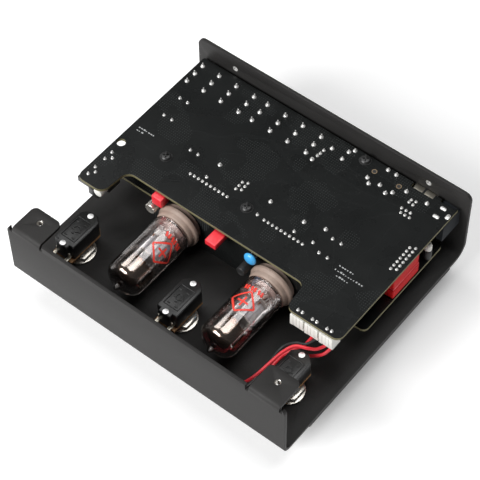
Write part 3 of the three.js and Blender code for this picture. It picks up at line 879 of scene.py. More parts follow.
# Leads of the small parts, the level control and the wire connectors.
MEDIUM = [
    (-70.5, 40.6), (-65.5, 40.5), (-69.6, 27.1), (-64.5, 27.1), (-45.1, 17.9), (-40.3, 18.0),
    (-28.2, 9.8), (5.1, 7.1), (24.9, 10.0), (41.8, 17.7), (46.7, 17.8), (35.8, 10.3), (41.6, 7.3),
    (46.5, 7.3), (5.8, 53.4), (6.1, 55.4), (6.3, 58.0), (53.5, -24.3), (56.0, -24.2), (61.8, -24.3),
    (64.3, -24.3), (70.1, -24.4), (72.6, -24.2), (-71.8, -9.4), (-72.6, -21.0), (-74.3, -6.7),
    (-74.4, -11.9), (-74.7, -18.7), (-74.7, -23.9),
]
PIN_PITCH = 2.54


def pins_across(x, y, count):
    """A row of header pins along +X."""
    return [(x + PIN_PITCH * i, y) for i in range(count)]


def pins_down(x, y, count):
    """A row of header pins towards the front wall."""
    return [(x, y - PIN_PITCH * i) for i in range(count)]


# Headers, and last the ten pins near the square socket.
PINS = [
    *pins_across(-35.8, 6.6, 10),
    *pins_across(9.6, 6.5, 10),
    *pins_down(-12.7, 18.0, 3),
    *pins_down(-10.1, 19.2, 3),
    *pins_down(73.2, 35.9, 7),
    *pins_down(75.7, 37.2, 7),
    (57.5, 59.4), (57.3, 57.7), (59.9, 59.8), (59.8, 57.4), (56.6, 52.7), (57.9, 50.1), (59.2, 52.7),
    (60.3, 50.1), (61.7, 52.7), (62.9, 50.1),
]
BOARD_SCREWS = ((-51.7, 7.3), (-1.3, 7.1), (25.9, 65.4))


class AMP_OT_solder(Operator):
    """Solder joints, leads, header pins and board screws"""

    bl_idname = "amp.solder"
    bl_label = "Solder joints and screws"

    def execute(self, context):
        sizes = context.scene.amp_sizes
        radius, height, lead = sizes.joint_radius, sizes.joint_height, sizes.lead_radius
        for kind, places, foot, cone, thick, stem, sway, seed in (
            ("long", LONG, 1.0, 1.0, 1.0, sizes.lead_height, 0.12, 3),
            ("large", LARGE, 0.95, 0.9, 1.0, height * 1.25, 0.1, 5),
            ("medium", MEDIUM, 0.72, 0.66, 0.9, height, 0.12, 7),
            ("pins", PINS, 0.66, 0.5, 0.85, height * 0.75, 0.06, 9),
        ):
            tree = joint_tree(kind + "_joints", radius * foot, height * cone, lead * thick, stem, sway, seed)
            tree.made("joints_" + kind, on_board(places), slot="bright_nickel")
        trimmer()
        screw_tree().made("board_screws", on_board(BOARD_SCREWS), slot="black_plastic", sharp=30)
        power_tabs()
        return {"FINISHED"}


def on_board(places):
    """Places on the upper face of the main board."""
    return [(x, y, MAIN_TOP) for x, y in places]


def trimmer():
    """A black trimmer with a white dome, standing under the main board's right edge."""
    dome = Shape()
    profile = [(0, 38.3), (1.9, 38.3), (1.9, 41.0), (1.6, 41.9), (0.9, 42.4), (0, 42.5)]
    dome.lathe(profile, TRIMMER, sides=32)
    dome.made("trimmer_dome", "white_body", sharp=50, slot="white_plastic")
    body = Shape()
    body.lathe([(0, 31.6), (2.1, 31.6), (2.1, 37.9), (1.7, 38.3), (0, 38.3)], TRIMMER, sides=24)
    body.made("trimmer_body", "matte_black", sharp=50, slot="black_plastic")


def power_tabs():
    """Three broad soldered tabs of the power socket."""
    tabs = Shape()
    for x, y, wide, deep in ((72.5, 64.4, 3.3, 2.0), (72.4, 58.4, 3.3, 2.0), (77.0, 61.6, 2.0, 3.3)):
        pool = rounded((x - wide / 2, x + wide / 2), (y - deep / 2, y + deep / 2), 0.8)
        tabs.prism(pool, (MAIN_TOP, MAIN_TOP + 0.35))
        blade = rounded((x - wide / 3, x + wide / 3), (y - deep / 4, y + deep / 4), 0.4)
        tabs.prism(blade, (MAIN_TOP + 0.3, MAIN_TOP + 0.75))
    tabs.made("power_tabs", "solder", bevel=0.12, slot="bright_nickel")


class AMP_OT_footswitches(Operator):
    """Footswitch housings, lugs, rivets, bushings and caps"""

    bl_idname = "amp.footswitches"
    bl_label = "Footswitches"

    def execute(self, context):
        rivets = Scatter("rivet_heads", {"Rivet Radius": context.scene.amp_sizes.rivet_radius})
        radius = rivets.size("Rivet Radius")
        disc = rivets.cone(radius, radius * 0.94, 0.22 * MM, 28)
        crown = rivets.raised(rivets.cone(radius * 0.94, radius * 0.6, 0.1 * MM, 28), 0.22 * MM)
        rivets.close(rivets.joined(disc, crown), "rivet")
        for which, x in FOOT_X.items():
            footswitch_case(which, x)
            footswitch_relief(which, x)
            footswitch_lugs(which, x)
            ends = [(x, FOOT_Y - 10.2, FOOT_TOP), (x, FOOT_Y + 10.0, FOOT_TOP)]
            rivets.made("footswitch_rivets_" + which, ends, slot="bright_nickel")
            node, name = "footswitch_bushing_" + which, "footswitch_thread_" + which
            refined(node, name, "plated", 0.25, slot="bright_nickel")
            footswitch_button(which, x)
        return {"FINISHED"}


FOOT_FRONT = FOOT_Y - 11.7
FOOT_REAR = FOOT_Y + 12.5


def footswitch_case(which, x):
    """The housing on its laminate plate, with cut corners and a notch for the lugs."""
    front, rear = FOOT_FRONT, FOOT_REAR
    plate = Shape()
    outline = [
        (x - 6, front), (x + 6, front), (x + 6, rear - 3.2),
        (x + 2.8, rear), (x - 2.8, rear), (x - 6, rear - 3.2),
    ]
    plate.prism(outline, (23.72, 24.7))
    plate.made("footswitch_plate_" + which, "fibre", bevel=0.15, slot="black_plastic")
    case = Shape()
    notched = [
        (x - 3.4, front + 0.1), (x + 3.4, front + 0.1), (x + 3.4, front + 2.2), (x + 5.9, front + 2.2),
        (x + 5.9, rear - 3.2), (x + 2.7, rear - 0.1), (x - 2.7, rear - 0.1), (x - 5.9, rear - 3.2),
        (x - 5.9, front + 2.2), (x - 3.4, front + 2.2),
    ]
    case.prism(notched, (24.7, 34.05))
    middle_y = FOOT_Y + 0.4
    rim = [(x + (a - x) * 0.97, middle_y + (b - middle_y) * 0.985) for a, b in notched]
    case.prism(rim, (33.9, FOOT_TOP))
    hides = ("footswitch_housing_" + which,)
    case.made("footswitch_case_" + which, "black", bevel=0.28, hides=hides, slot="black_plastic")


def footswitch_relief(which, x):
    """A plain raised frame, some blocks and a ring moulded in the housing's top."""
    relief = Shape()
    front, rear = FOOT_Y - 6.8, FOOT_Y + 6.6
    wide = 0.32
    foot = FOOT_TOP - 0.05
    relief.block((x - 4.4, x - 4.4 + wide), (front, rear), (foot, FOOT_TOP + 0.36))
    relief.block((x + 4.4 - wide, x + 4.4), (front, rear), (foot, FOOT_TOP + 0.36))
    relief.block((x - 4.1, x + 4.1), (front, front + wide), (foot, FOOT_TOP + 0.35))
    relief.block((x - 4.1, x + 4.1), (rear - wide, rear), (foot, FOOT_TOP + 0.35))
    for i in range(3):
        for j in range(5):
            if (i + j) % 2 == 0:
                left, low = x - 3.2 + 2.3 * i, FOOT_Y - 5.6 + 2.3 * j
                relief.block((left, left + 1.5), (low, low + 0.7), (foot, FOOT_TOP + 0.3))
    ring = [(1.5, foot), (2.0, foot), (2.0, FOOT_TOP + 0.32), (1.5, FOOT_TOP + 0.32)]
    relief.lathe(ring, (x, FOOT_Y), sides=24, ring=True)
    relief.made("footswitch_relief_" + which, "black", bevel=0.08, segments=1, slot="black_plastic")


def footswitch_lugs(which, x):
    """Two solder lugs that stand out in front of the housing."""
    lugs = Shape()
    for side in (-1, 1):
        lx = x + side * 3.7
        outline = rounded((lx - 0.9, lx + 0.9), (FOOT_FRONT - 3.2, FOOT_FRONT + 2.4), 0.5)
        lugs.prism(outline, (26.15, 26.65))
        lugs.block((lx - 0.7, lx + 0.7), (FOOT_FRONT + 0.7, FOOT_FRONT + 1.3), (26.5, 29.4))
    lugs.made("footswitch_lugs_" + which, "tinned_shell", bevel=0.1, slot="bright_nickel")


def footswitch_button(which, x):
    """The plunger, which travels on its own body."""
    cap = Shape()
    profile = [
        (0, 0), (2.9, 0.0), (3.6, 0.25), (4.05, 0.8), (4.2, 1.5), (4.2, 17.6), (4.0, 17.9), (3.0, 18.2),
        (3.0, 19.4), (2.6, 20), (0, 20),
    ]
    cap.lathe(profile, (x, FOOT_Y), sides=48)
    cap.made(
        "footswitch_button_" + which, "plated", body="cap_" + which,
        hides=("footswitch_cap_" + which,), slot="bright_nickel",
    )


class AMP_OT_valves(Operator):
    """Valves with glass, electrodes, getter mirror and generic marks, and their ceramic sockets"""

    bl_idname = "amp.valves"
    bl_label = "Valves"

    def execute(self, context):
        sizes = context.scene.amp_sizes
        for which, x in VALVE_X.items():
            valve_socket(which, x)
            valve_glass(which, x, sizes.glass_wall / MM)
            valve_anodes(which, x)
            valve_mica(which, x)
            valve_metalwork(which, x)
            valve_foot(which, x, sizes.pin_radius)
            valve_marks(which, x)
        return {"FINISHED"}


GLASS_RADIUS = 10.3
MICA_LOW = (16.5, 17.2)  # heights of the lower mica's faces above the seat
MICA_HIGH = (29.2, 29.9)
PIN_CIRCLE = 5.9


def along(height):
    """Height above a valve's seat as a place on the Y axis."""
    return VALVE_SEAT - height


def valve_lathe(shape, profile, x, sides, ring=False, off=(0, 0)):
    """Turns (radius, height above the seat) points about a valve's axis, or about a line beside it."""
    turned = [(radius, along(height)) for radius, height in profile]
    shape.lathe(turned, (x + off[0], VALVE_Z + off[1]), "Y", sides, ring)


def valve_profile(inset=0.0):
    """Outside of the glass, from its open base to its sealed tip, moved inwards by the inset."""
    shoulder, crown, nipple = 42.0, 6.3, 3.2
    points = [(GLASS_RADIUS - inset, 9.0), (GLASS_RADIUS - inset, shoulder)]
    for i in range(1, 9):
        angle = math.pi / 2 * i / 9
        radius = nipple + (GLASS_RADIUS - nipple) * math.cos(angle) - inset
        points.append((radius, shoulder + crown * math.sin(angle) - inset * i / 9))
    points += [(2.5 - inset, 48.5 - inset), (1.9 - inset * 0.7, 49.3 - inset)]
    points += [(1.35 - inset * 0.7, 50.3 - inset), (0.7 - inset * 0.5, 51.3 - inset), (0, 51.6 - inset * 1.2)]
    return points


def getter_skin(inset):
    """The part of the glass's inside that the getter covers, moved inwards by the inset."""
    dome = [p for p in valve_profile(inset) if p[1] > 36][:-3]
    return [(dome[0][0], 31.8), *dome]


def valve_glass(which, x, wall):
    """The envelope, the getter mirror inside it and the seal in its tip."""
    glass = Shape()
    valve_lathe(glass, [*valve_profile(), *valve_profile(wall)[::-1]], x, 96, ring=True)
    hides = ("valve_glass_" + which,)
    glass.made("valve_envelope_" + which, "glass", sharp=80, hides=hides, slot="clear_glass")
    mirror = Shape()
    valve_lathe(mirror, [*getter_skin(wall + 0.08), *getter_skin(wall + 0.16)[::-1]], x, 96, ring=True)
    mirror.made("valve_getter_" + which, "getter", sharp=80, slot="grey_metal")
    seal = Shape()
    valve_lathe(seal, [(0, 48.4), (1.1, 48.6), (0.85, 49.6), (0.35, 50.6), (0, 50.9)], x, 20)
    seal.made("valve_seal_" + which, "solder", sharp=80, slot="grey_metal")


def valve_socket(which, x):
    """Round ceramic base with a flange and a collar for the glass."""
    socket = Shape()
    profile = [
        (0, 0), (10.4, 0), (10.9, 0.4), (10.9, 2.5), (11.6, 2.8), (12.1, 3.2), (12.1, 4.6), (11.7, 5.0),
        (10.9, 5.3), (10.7, 5.8), (10.8, 7.4), (10.4, 8.0), (9.8, 8.3), (9.0, 8.4), (8.7, 8.0), (8.6, 7.0),
        (0, 7.0),
    ]
    valve_lathe(socket, profile, x, 72)
    hides = ("valve_socket_" + which,)
    socket.made("valve_base_" + which, "ceramic", sharp=50, hides=hides, slot="cream_ceramic")


def valve_anodes(which, x):
    """Two anode boxes with pressed ribs and side flanges, between the micas."""
    anodes = Shape()
    low, high = MICA_LOW[1], MICA_HIGH[0]
    for side in (-1, 1):
        centre = x + side * 3.9
        corners = [
            (-2.5, -2.2), (-1.0, -4.2), (1.0, -4.2), (2.5, -2.2),
            (2.5, 2.2), (1.0, 4.2), (-1.0, 4.2), (-2.5, 2.2),
        ]
        anodes.prism([(centre + a, VALVE_Z + b) for a, b in corners], (along(high), along(low)), "Y")
        for edge in (centre - 3.2, centre + 3.2):
            flange = (VALVE_Z - 0.25, VALVE_Z + 0.25)
            anodes.block((edge - 0.7, edge + 0.7), (along(high), along(low)), flange)
        for h in (19.4, 23.2, 27.0):
            swollen = [(centre + a * 1.07, VALVE_Z + b * 1.07) for a, b in corners]
            anodes.prism(swollen, (along(h + 0.55), along(h - 0.55)), "Y")
    hides = ("valve_electrodes_" + which,)
    anodes.made("valve_anodes_" + which, "anode", bevel=0.18, slot="grey_metal", hides=hides)


def valve_mica(which, x):
    """Mica discs with teeth that reach towards the glass."""
    mica = Shape()
    toothed = []
    for i in range(72):
        angle = 2 * math.pi * i / 72
        radius = 9.3 if i % 6 in (0, 1) else 8.5
        toothed.append((x + radius * math.cos(angle), VALVE_Z + radius * math.sin(angle)))
    for low, high in (MICA_LOW, MICA_HIGH):
        mica.prism(toothed, (along(high), along(low)), "Y")
    mica.made("valve_mica_" + which, "mica", sharp=30, slot="cream_ceramic")


def valve_metalwork(which, x):
    """Support rods, leads, straps and the getter's ring."""

    def spot(a, h, b):
        return (x + a, along(h), VALVE_Z + b)

    metalwork = Shape()
    for a, b in ((0, 6.4), (0, -6.4), (-7.4, 0), (7.4, 0), (-1.2, 3.0), (1.2, -3.0)):
        metalwork.rod(spot(a, 13.6, b), spot(a, 32.4, b), 0.42)
    for a in (-3.9, 3.9):
        metalwork.rod(spot(a, 14.0, 0), spot(a, 33.2, 0), 0.6)
        for side in (-1.3, 1.3):
            metalwork.rod(spot(a + side, 29.6, 0), spot(a + side, 32.4, 0), 0.3)
    metalwork.tube(curve_through([spot(0, 32.0, 6.4), spot(0, 35.4, 4.4), spot(0, 37.0, 1.2)], 4), 0.35)
    valve_lathe(metalwork, [(2.4, 37.6), (3.4, 37.6), (3.4, 37.0), (2.4, 37.0)], x, 32, ring=True)
    rng = random.Random(5 if which == "left" else 8)
    for _ in range(30):
        start, turn = rng.uniform(0, 2 * math.pi), rng.uniform(-0.6, 0.6)
        low, high = rng.uniform(5.6, 8.4), rng.uniform(4.0, 8.4)
        p = spot(low * math.cos(start), 12.4, low * math.sin(start))
        q = spot(high * math.cos(start + turn), 16.6, high * math.sin(start + turn))
        metalwork.rod(p, q, 0.26, 8)
    for h, half in ((15.7, 6.6), (14.4, 5.2)):
        for edge in (2.2, -3.1):
            heights = (along(h + 0.1), along(h - 0.1))
            metalwork.block((x - half, x + half), heights, (VALVE_Z + edge, VALVE_Z + edge + 0.9))
    metalwork.made("valve_metalwork_" + which, "bright_wire", sharp=40, slot="grey_metal")


def valve_foot(which, x, pin_radius):
    """Pressed glass foot with its ring of seals, and the pins under it."""
    foot = Shape()
    valve_lathe(foot, [(0, 9.4), (8.9, 9.4), (9.3, 10.4), (8.7, 11.6), (5.0, 12.1), (0, 12.1)], x, 48)
    circle = ring_of(9, PIN_CIRCLE, turn=0.2)
    for off in circle:
        valve_lathe(foot, [(0, 14.6), (0.6, 14.5), (0.95, 13.6), (1.25, 12.0), (0, 12.0)], x, 16, off=off)
    foot.made("valve_foot_" + which, "pink_ceramic", sharp=50, slot="cream_ceramic")
    pins = Scatter("valve_pins_" + which, {"Pin Radius": pin_radius, "Pin Length": 6.4 * MM})
    stem = pins.cone(pins.size("Pin Radius"), pins.size("Pin Radius") * 0.8, pins.size("Pin Length"), 12)
    pins.close(stem, "copper", turn=(math.pi / 2, 0, 0))
    places = [(x + a, along(12.2), VALVE_Z + b) for a, b in circle]
    pins.made("valve_pin_ring_" + which, places, slot="grey_metal")


PRINT_TURN = {"left": 0.84, "right": -0.06}  # from straight up, towards +X


def valve_marks(which, x):
    """A plain diamond and some bars printed on the glass, wrapped round it."""
    marks = Shape()
    inner, outer = GLASS_RADIUS + 0.01, GLASS_RADIUS + 0.04

    def wrapped(points):
        angles = [math.pi / 2 - PRINT_TURN[which] - around / inner for around, _ in points]
        corners = []
        for r in (inner, outer):
            for angle, (_, h) in zip(angles, points):
                corners.append((x + r * math.cos(angle), along(h), VALVE_Z + r * math.sin(angle)))
        n = len(points)
        faces = [tuple(range(n))[::-1], tuple(range(n, 2 * n))]
        faces += [(i, (i + 1) % n, n + (i + 1) % n, n + i) for i in range(n)]
        marks.add(corners, faces)

    def stroke(a, b, wide=1.0, steps=8):
        start, end = Vector(a), Vector(b)
        run = (end - start).normalized()
        aside = Vector((-run.y, run.x)) * wide / 2
        for i in range(steps):
            p, q = start.lerp(end, i / steps), start.lerp(end, (i + 1) / steps)
            wrapped([p - aside, q - aside, q + aside, p + aside])

    centre, half_wide, half_tall = 24.6, 6.8, 6.6
    corners = [(0, centre - half_tall), (half_wide, centre), (0, centre + half_tall), (-half_wide, centre)]
    for a, b in zip(corners, corners[1:] + corners[:1]):
        stroke(a, b)
    stroke((-3.0, centre), (3.0, centre))
    stroke((0, centre - 2.9), (0, centre + 2.9))
    for i in range(6):
        start = -5.6 + 2.0 * i
        stroke((start, 14.9), (start + (0.5 if i % 2 else 1.1), 17.4), 1.2, 2)
    marks.made("valve_print_" + which, "mark", sharp=80, slot="red_plastic")


class AMP_OT_sockets(Operator):
    """Rear jacks, data, power and square sockets, and the slide switch"""

    bl_idname = "amp.sockets"
    bl_label = "Rear sockets"

    def execute(self, context):
        for number, x in enumerate(JACK_X, 1):
            jack("jack_%d" % number, x)
        refined("small_jack", "small_jack_body", "matte_black", 0.2, slot="black_plastic")
        data_jack()
        square_socket()
        power_socket()
        refined("slide_switch", "slide_switch_shell", "plated", 0.2, slot="grey_metal")
        refined("slide_lever", "slide_lever_tip", "matte_black", 0.2, body="lever", slot="black_plastic")
        return {"FINISHED"}


def jack(name, x):
    """Body, plated mouth and one contact spring."""
    refined(name, name + "_body", "matte_black", 0.3, slot="black_plastic")
    rim = Shape()
    profile = [(3.3, 76.3), (4.4, 76.3), (4.5, 76.1), (4.5, 75.4), (3.3, 75.4)]
    rim.lathe(profile, (x, 40.0), "Y", 36, ring=True)
    rim.made(name + "_rim", "plated", slot="bright_nickel")
    spring = Shape()
    spring.block((x - 0.9, x + 0.9), (50.0, 66.0), (36.9, 37.3))
    spring.made(name + "_spring", "copper", bevel=0.05, slot="bright_nickel")


def data_jack():
    """Five contacts in a half circle, at the bottom of the round opening."""
    refined("data_jack", "data_jack_body", "matte_black", 0.3, slot="black_plastic")
    x, z, circle = middle("data_jack")[0], 39.4, 4.5
    pins = Shape()
    for degrees in (180, 225, 270, 315, 360):
        a, b = circle * math.cos(math.radians(degrees)), circle * math.sin(math.radians(degrees))
        pins.rod((x + a, 61.05, z + b), (x + a, 61.4, z + b), 0.9)
    pins.made("data_jack_contacts", "plated", slot="bright_nickel")


def square_socket():
    """Tinned shell with its tongue, two spring fingers and the seam between them."""
    refined("usb_socket", "usb_shell", "tinned_shell", 0.35, slot="bright_nickel")
    tongue = Shape()
    tongue.block((56.0, 61.4), (62.6, 71.5), (40.0, 43.0))
    tongue.made("usb_tongue", "white_body", bevel=0.3, slot="white_plastic")
    fingers = Shape()
    for xs in ((53.0, 58.1), (59.3, 64.4)):
        fingers.prism(rounded(xs, (66.7, 70.3), 0.4), (46.95, 47.35))
    fingers.made("usb_fingers", "tinned_shell", bevel=0.12, slot="bright_nickel")
    seam = Shape()
    seam.block((58.2, 59.2), (64.6, 70.6), (46.9, 47.3))
    seam.made("usb_seam", "matte_black", slot="black_plastic")


def power_socket():
    """Grey-black body with a centre pin in its mouth."""
    refined("dc_socket", "dc_socket_body", "body_grey", 0.3, slot="black_plastic")
    pin = Shape()
    pin.lathe([(0, 60.6), (1.0, 60.6), (1.0, 69.0), (0.7, 69.4), (0, 69.4)], (74.0, 41.2), "Y", 20)
    pin.made("dc_socket_pin", "plated", slot="bright_nickel")


class AMP_OT_small_parts(Operator):
    """Capacitors, connectors, level control and hook-up wires"""

    bl_idname = "amp.small_parts"
    bl_label = "Small parts and wires"

    def execute(self, context):
        refined("film_capacitor_left", "film_box_left", "red_body", 0.6, segments=3, slot="red_plastic")
        refined("film_capacitor_right", "film_box_right", "red_body", 0.5, segments=3, slot="red_plastic")
        can("can_capacitor_left", "plated", "grey_metal")
        can("can_capacitor_right", "matte_black", "black_plastic")
        disc_capacitor()
        board_connector()
        for number in (1, 2, 3):
            wire_connector("wire_connector_%d" % number)
        level_control()
        wires(context.scene.amp_sizes.wire_radius / MM)
        return {"FINISHED"}


def can(name, material, slot):
    """A round capacitor on the valve board, with a crimp near its foot."""
    low, high = drawn(name)
    x, _, z = middle(name)
    radius = round((high[2] - low[2]) / 2, 2)
    front = low[1]
    shape = Shape()
    profile = [
        (0, front + 0.15), (radius * 0.72, front + 0.15), (radius * 0.8, front), (radius - 0.25, front),
        (radius, front + 0.3), (radius, -10.2), (radius - 0.3, -9.8), (radius, -9.4), (radius, -8.2),
        (radius - 0.3, VALVE_SEAT), (0, VALVE_SEAT),
    ]
    shape.lathe(profile, (x, z), "Y", 36)
    shape.made(name + "_can", material, hides=(name,), slot=slot)


def disc_capacitor():
    """A dipped disc, fuller in its middle, on two thin legs."""
    x, z = middle("disc_capacitor")[0], 44.0
    disc = Shape()
    profile = [(3.45 * math.sin(t), -12.6 - 1.7 * math.cos(t)) for t in (math.pi * i / 14 for i in range(15))]
    disc.lathe(profile, (x, z), "Y", 40)
    disc.made("disc_coating", "blue_body", sharp=80, hides=("disc_capacitor",), slot="blue_coating")
    legs = Shape()
    for side in (-1.5, 1.5):
        legs.rod((x + side, -11.4, z), (x + side, VALVE_SEAT, z), 0.3, 10)
    legs.made("disc_legs", "solder", slot="bright_nickel")


def board_connector():
    """Two red halves with the seam strip between them; the strip's lighter, glossier red is a painted
    highlight along the halves' edges.
    """
    halves = Shape()
    halves.prism(rounded((70.7, 77.9), (17.3, 38.5), 0.6, 3), (31.95, 38.2))
    halves.prism(rounded((70.9, 77.6), (17.6, 38.2), 0.6, 3), (38.9, 47.05))
    hides = ("board_connector",)
    halves.made("board_connector_halves", "red_shell", bevel=0.2, hides=hides, slot="red_plastic")
    # The seam strip is real, but its red is lighter and glossier than the halves: a painted highlight along
    # their edges.
    strip = Shape()
    strip.block((70.9, 77.7), (17.6, 38.2), (38.1, 39.0))
    strip.made("board_connector_seam_highlight", "red_body", bevel=0.1, slot="red_plastic")


def wire_connector(name):
    """A white shell with ribs down its face and teeth along its lower edge."""
    x, half, top = middle(name)[0], 3.75, 47.05
    shell = Shape()
    shell.block((x - half, x + half), (-26.7, -20.5), (38.6, top))
    for i, low in enumerate((39.4, 40.6, 39.9, 41.2)):
        left = x - half + 1.885 * i
        shell.block((left, left + 1.8), (-27.3, -26.5), (low, top))
        shell.block((left + 0.3, left + 1.4), (-26.0, -22.0), (37.45, 38.7))
    shell.made(name + "_shell", "white_body", bevel=0.22, hides=(name,), slot="white_plastic")


def level_control():
    """The body under the left tab, and the white rotor that turns in it."""
    refined("level_control", "level_control_body", "black", 0.35, slot="black_plastic")
    x, _, z = middle("level_rotor")
    rotor = Shape()
    profile = [(0, -27.8), (1.9, -27.8), (2.4, -27.5), (2.5, -27.0), (2.5, -22.8), (0, -22.8)]
    rotor.lathe(profile, (x, z), "Y", 32)
    hides = ("level_rotor",)
    rotor.made("level_rotor_disc", "white_body", body="rotor", hides=hides, slot="white_plastic")


# Middle lines of the hook-up wires, from the white connectors to the footswitches.
WIRE_PATHS = {
    "wire_middle": [
        (70.2, -24, 37.1), (70.2, -24.4, 35.6), (67.6, -28.4, 34.6), (64.4, -31.6, 36.2), (59.6, -34.6, 37),
        (57.2, -40.4, 36.9), (56.2, -47.4, 36.6), (54.8, -56.4, 35.4), (52.4, -61.4, 33), (47.5, -64.6, 27.5),
        (38, -66, 21.8), (24, -66.6, 20), (11, -66.2, 21), (5, -64.6, 24.2), (3.4, -61.4, 26.4),
    ],
    "wire_right_a": [
        (72.6, -24, 37.1), (72.6, -24.4, 35), (70.4, -27.4, 31.5), (65, -29.4, 27.5), (59.6, -30.2, 24),
        (56, -33.6, 21.8), (54.6, -42, 21), (54.4, -52, 21), (56.4, -60.6, 22.6), (60.5, -61.4, 26.4),
    ],
    "wire_right_b": [
        (62, -24, 37.1), (62, -24.4, 34.6), (60, -27.6, 29.8), (56.2, -30, 25.6), (52.8, -35, 22.4),
        (52, -44, 21), (52, -56, 20.8), (54.4, -63.6, 21.2), (60.5, -66.6, 21.6), (66, -65.6, 23),
        (67.9, -61.4, 26.4),
    ],
    "wire_grey": [
        (64.4, -24, 37.1), (64.2, -24.6, 35.2), (61.6, -28.6, 33.4), (56.6, -29.6, 31), (50.8, -32.6, 25),
        (49.8, -44, 20.8), (48.6, -60, 20), (40, -68.6, 22.2), (20, -69.2, 22.2), (4, -68, 22.6),
        (-3, -66.4, 24.4), (-4, -61.4, 26.4),
    ],
}


def wires(radius):
    """Hook-up wires; the grey one is thinner."""
    for name, points in WIRE_PATHS.items():
        thick, kind = (radius - 0.2, "grey_wire") if name == "wire_grey" else (radius, "red_wire")
        cover = Shape()
        cover.tube(curve_through(points), thick, 14)
        cover.made(name + "_cover", kind, sharp=60, hides=(name,), slot=kind)


class AMP_OT_knobs(Operator):
    """Knobs with ribbed grips and pointers, and the controls behind them"""

    bl_idname = "amp.knobs"
    bl_label = "Knobs"

    def execute(self, context):
        sizes = {"Rib Radius": context.scene.amp_sizes.grip_radius, "Rib Length": 10.4 * MM}
        grips = Scatter("knob_grips", sizes)
        radius = grips.size("Rib Radius")
        grips.close(grips.cone(radius, radius * 1.1, grips.size("Rib Length"), 8), "matte_black")
        for number, x in enumerate(KNOB_X, 1):
            body = "knob_body_%d" % number
            knob_cap(number, x, body)
            ribs = [(a, b, 1.5) for a, b in ring_of(24, 6.15, (x, KNOB_Y))]
            grips.made("knob_grip_%d" % number, ribs, body=body, slot="black_plastic")
            knob_line(number, x, body)
            node, name = "potentiometer_%d" % number, "potentiometer_can_%d" % number
            refined(node, name, "anode", 0.3, slot="grey_metal")
        return {"FINISHED"}


def knob_cap(number, x, body):
    """The knob with its skirt, and the shaft that turns with it."""
    knob = Shape()
    profile = [
        (0, 0.45), (4.5, 0.45), (4.8, 0.0), (5.3, 0.0), (5.8, 0.3), (6.05, 0.9), (6.35, 12.0),
        (6.75, 12.2), (6.8, 12.6), (3.0, 12.6), (3.0, 25.0), (2.7, 25.3), (0, 25.3),
    ]
    knob.lathe(profile, (x, KNOB_Y), sides=56)
    hides = ("knob_%d" % number,)
    knob.made("knob_cap_%d" % number, "matte_black", body=body, hides=hides, slot="black_plastic")


def knob_line(number, x, body):
    """The pointer line, over the knob's end and down its side."""
    line = Shape()
    line.block((x - 0.3, x + 0.3), (KNOB_Y + 1.2, KNOB_Y + 5.2), (0.02, 0.5))
    line.block((x - 0.3, x + 0.3), (KNOB_Y + 6.3, KNOB_Y + 6.9), (1.6, 11.8))
    name = "knob_line_%d" % number
    line.made(name, "white_body", body=body, bevel=0.06, segments=1, slot="white_plastic")


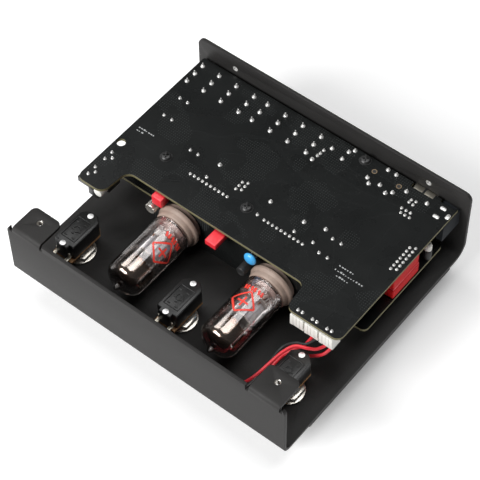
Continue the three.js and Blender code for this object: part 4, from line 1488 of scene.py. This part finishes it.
class AMP_OT_stage(Operator):
    """Pale floor, soft lights and camera"""

    bl_idname = "amp.stage"
    bl_label = "Stage"

    def execute(self, context):
        scene = context.scene
        mesh = bpy.data.meshes.new("floor")
        half, level = 4.0, -0.3 * MM
        corners = [(-half, -half, level), (half, -half, level), (half, half, level), (-half, half, level)]
        mesh.from_pydata(corners, [], [(0, 1, 2, 3)])
        floor = bpy.data.objects.new("floor", mesh)
        floor.data.materials.append(finish("floor"))
        scene.collection.objects.link(floor)
        world = bpy.data.worlds.new("studio")
        world.use_nodes = True
        background = world.node_tree.nodes["Background"].inputs
        background["Color"].default_value = (0.97, 0.98, 1.0, 1.0)
        background["Strength"].default_value = 0.05
        scene.world = world
        scene.view_settings.view_transform = "Standard"
        soft_light("key", (-0.5, -1.5, 1.05), 1.2, 45)
        soft_light("top", (0.2, 0.4, 1.7), 1.0, 12)
        soft_light("side", (-0.9, 0.2, 1.4), 0.8, 6)
        camera = bpy.data.cameras.new("camera")
        camera.lens = 133.757
        camera.sensor_width = 36.0
        camera.clip_start = 0.01
        eye = bpy.data.objects.new("camera", camera)
        eye.location = (0.32271, -0.39611, 0.72430)
        eye.rotation_euler = tuple(math.radians(a) for a in (36.34336, 0.54811, 38.56805))
        scene.collection.objects.link(eye)
        scene.camera = eye
        return {"FINISHED"}


def soft_light(name, spot, size, power):
    """A square lamp aimed at the middle of the amplifier."""
    light = bpy.data.lights.new(name, "AREA")
    light.shape = "SQUARE"
    light.size = size
    light.energy = power
    lamp = bpy.data.objects.new(name, light)
    lamp.location = spot
    aim = Vector((0, 0, 30 * MM)) - Vector(spot)
    lamp.rotation_euler = aim.to_track_quat("-Z", "Y").to_euler()
    bpy.context.scene.collection.objects.link(lamp)


class AMP_PT_panel(Panel):
    """Lists the sizes, colours and steps of the amplifier"""

    bl_idname = "AMP_PT_panel"
    bl_label = "Open Valve Amplifier"
    bl_space_type = "VIEW_3D"
    bl_region_type = "UI"
    bl_category = "Valve Amp"

    def draw(self, context):
        for settings in (context.scene.amp_sizes, context.scene.amp_colours):
            box = self.layout.box()
            for name in settings.__annotations__:
                box.prop(settings, name)
        for step in STEPS:
            self.layout.operator(step.bl_idname)


STEPS = (
    AMP_OT_stage,
    AMP_OT_chassis,
    AMP_OT_boards,
    AMP_OT_solder,
    AMP_OT_footswitches,
    AMP_OT_valves,
    AMP_OT_sockets,
    AMP_OT_small_parts,
    AMP_OT_knobs,
)
CLASSES = (AMP_PG_sizes, AMP_PG_colours, *STEPS, AMP_PT_panel)


def register():
    for item in CLASSES:
        bpy.utils.register_class(item)
    bpy.types.Scene.amp_sizes = PointerProperty(type=AMP_PG_sizes)
    bpy.types.Scene.amp_colours = PointerProperty(type=AMP_PG_colours)


def unregister():
    del bpy.types.Scene.amp_colours
    del bpy.types.Scene.amp_sizes
    for item in reversed(CLASSES):
        bpy.utils.unregister_class(item)


def main():
    register()
    for step in STEPS:
        group, name = step.bl_idname.split(".")
        getattr(getattr(bpy.ops, group), name)()


if __name__ == "__main__":
    main()
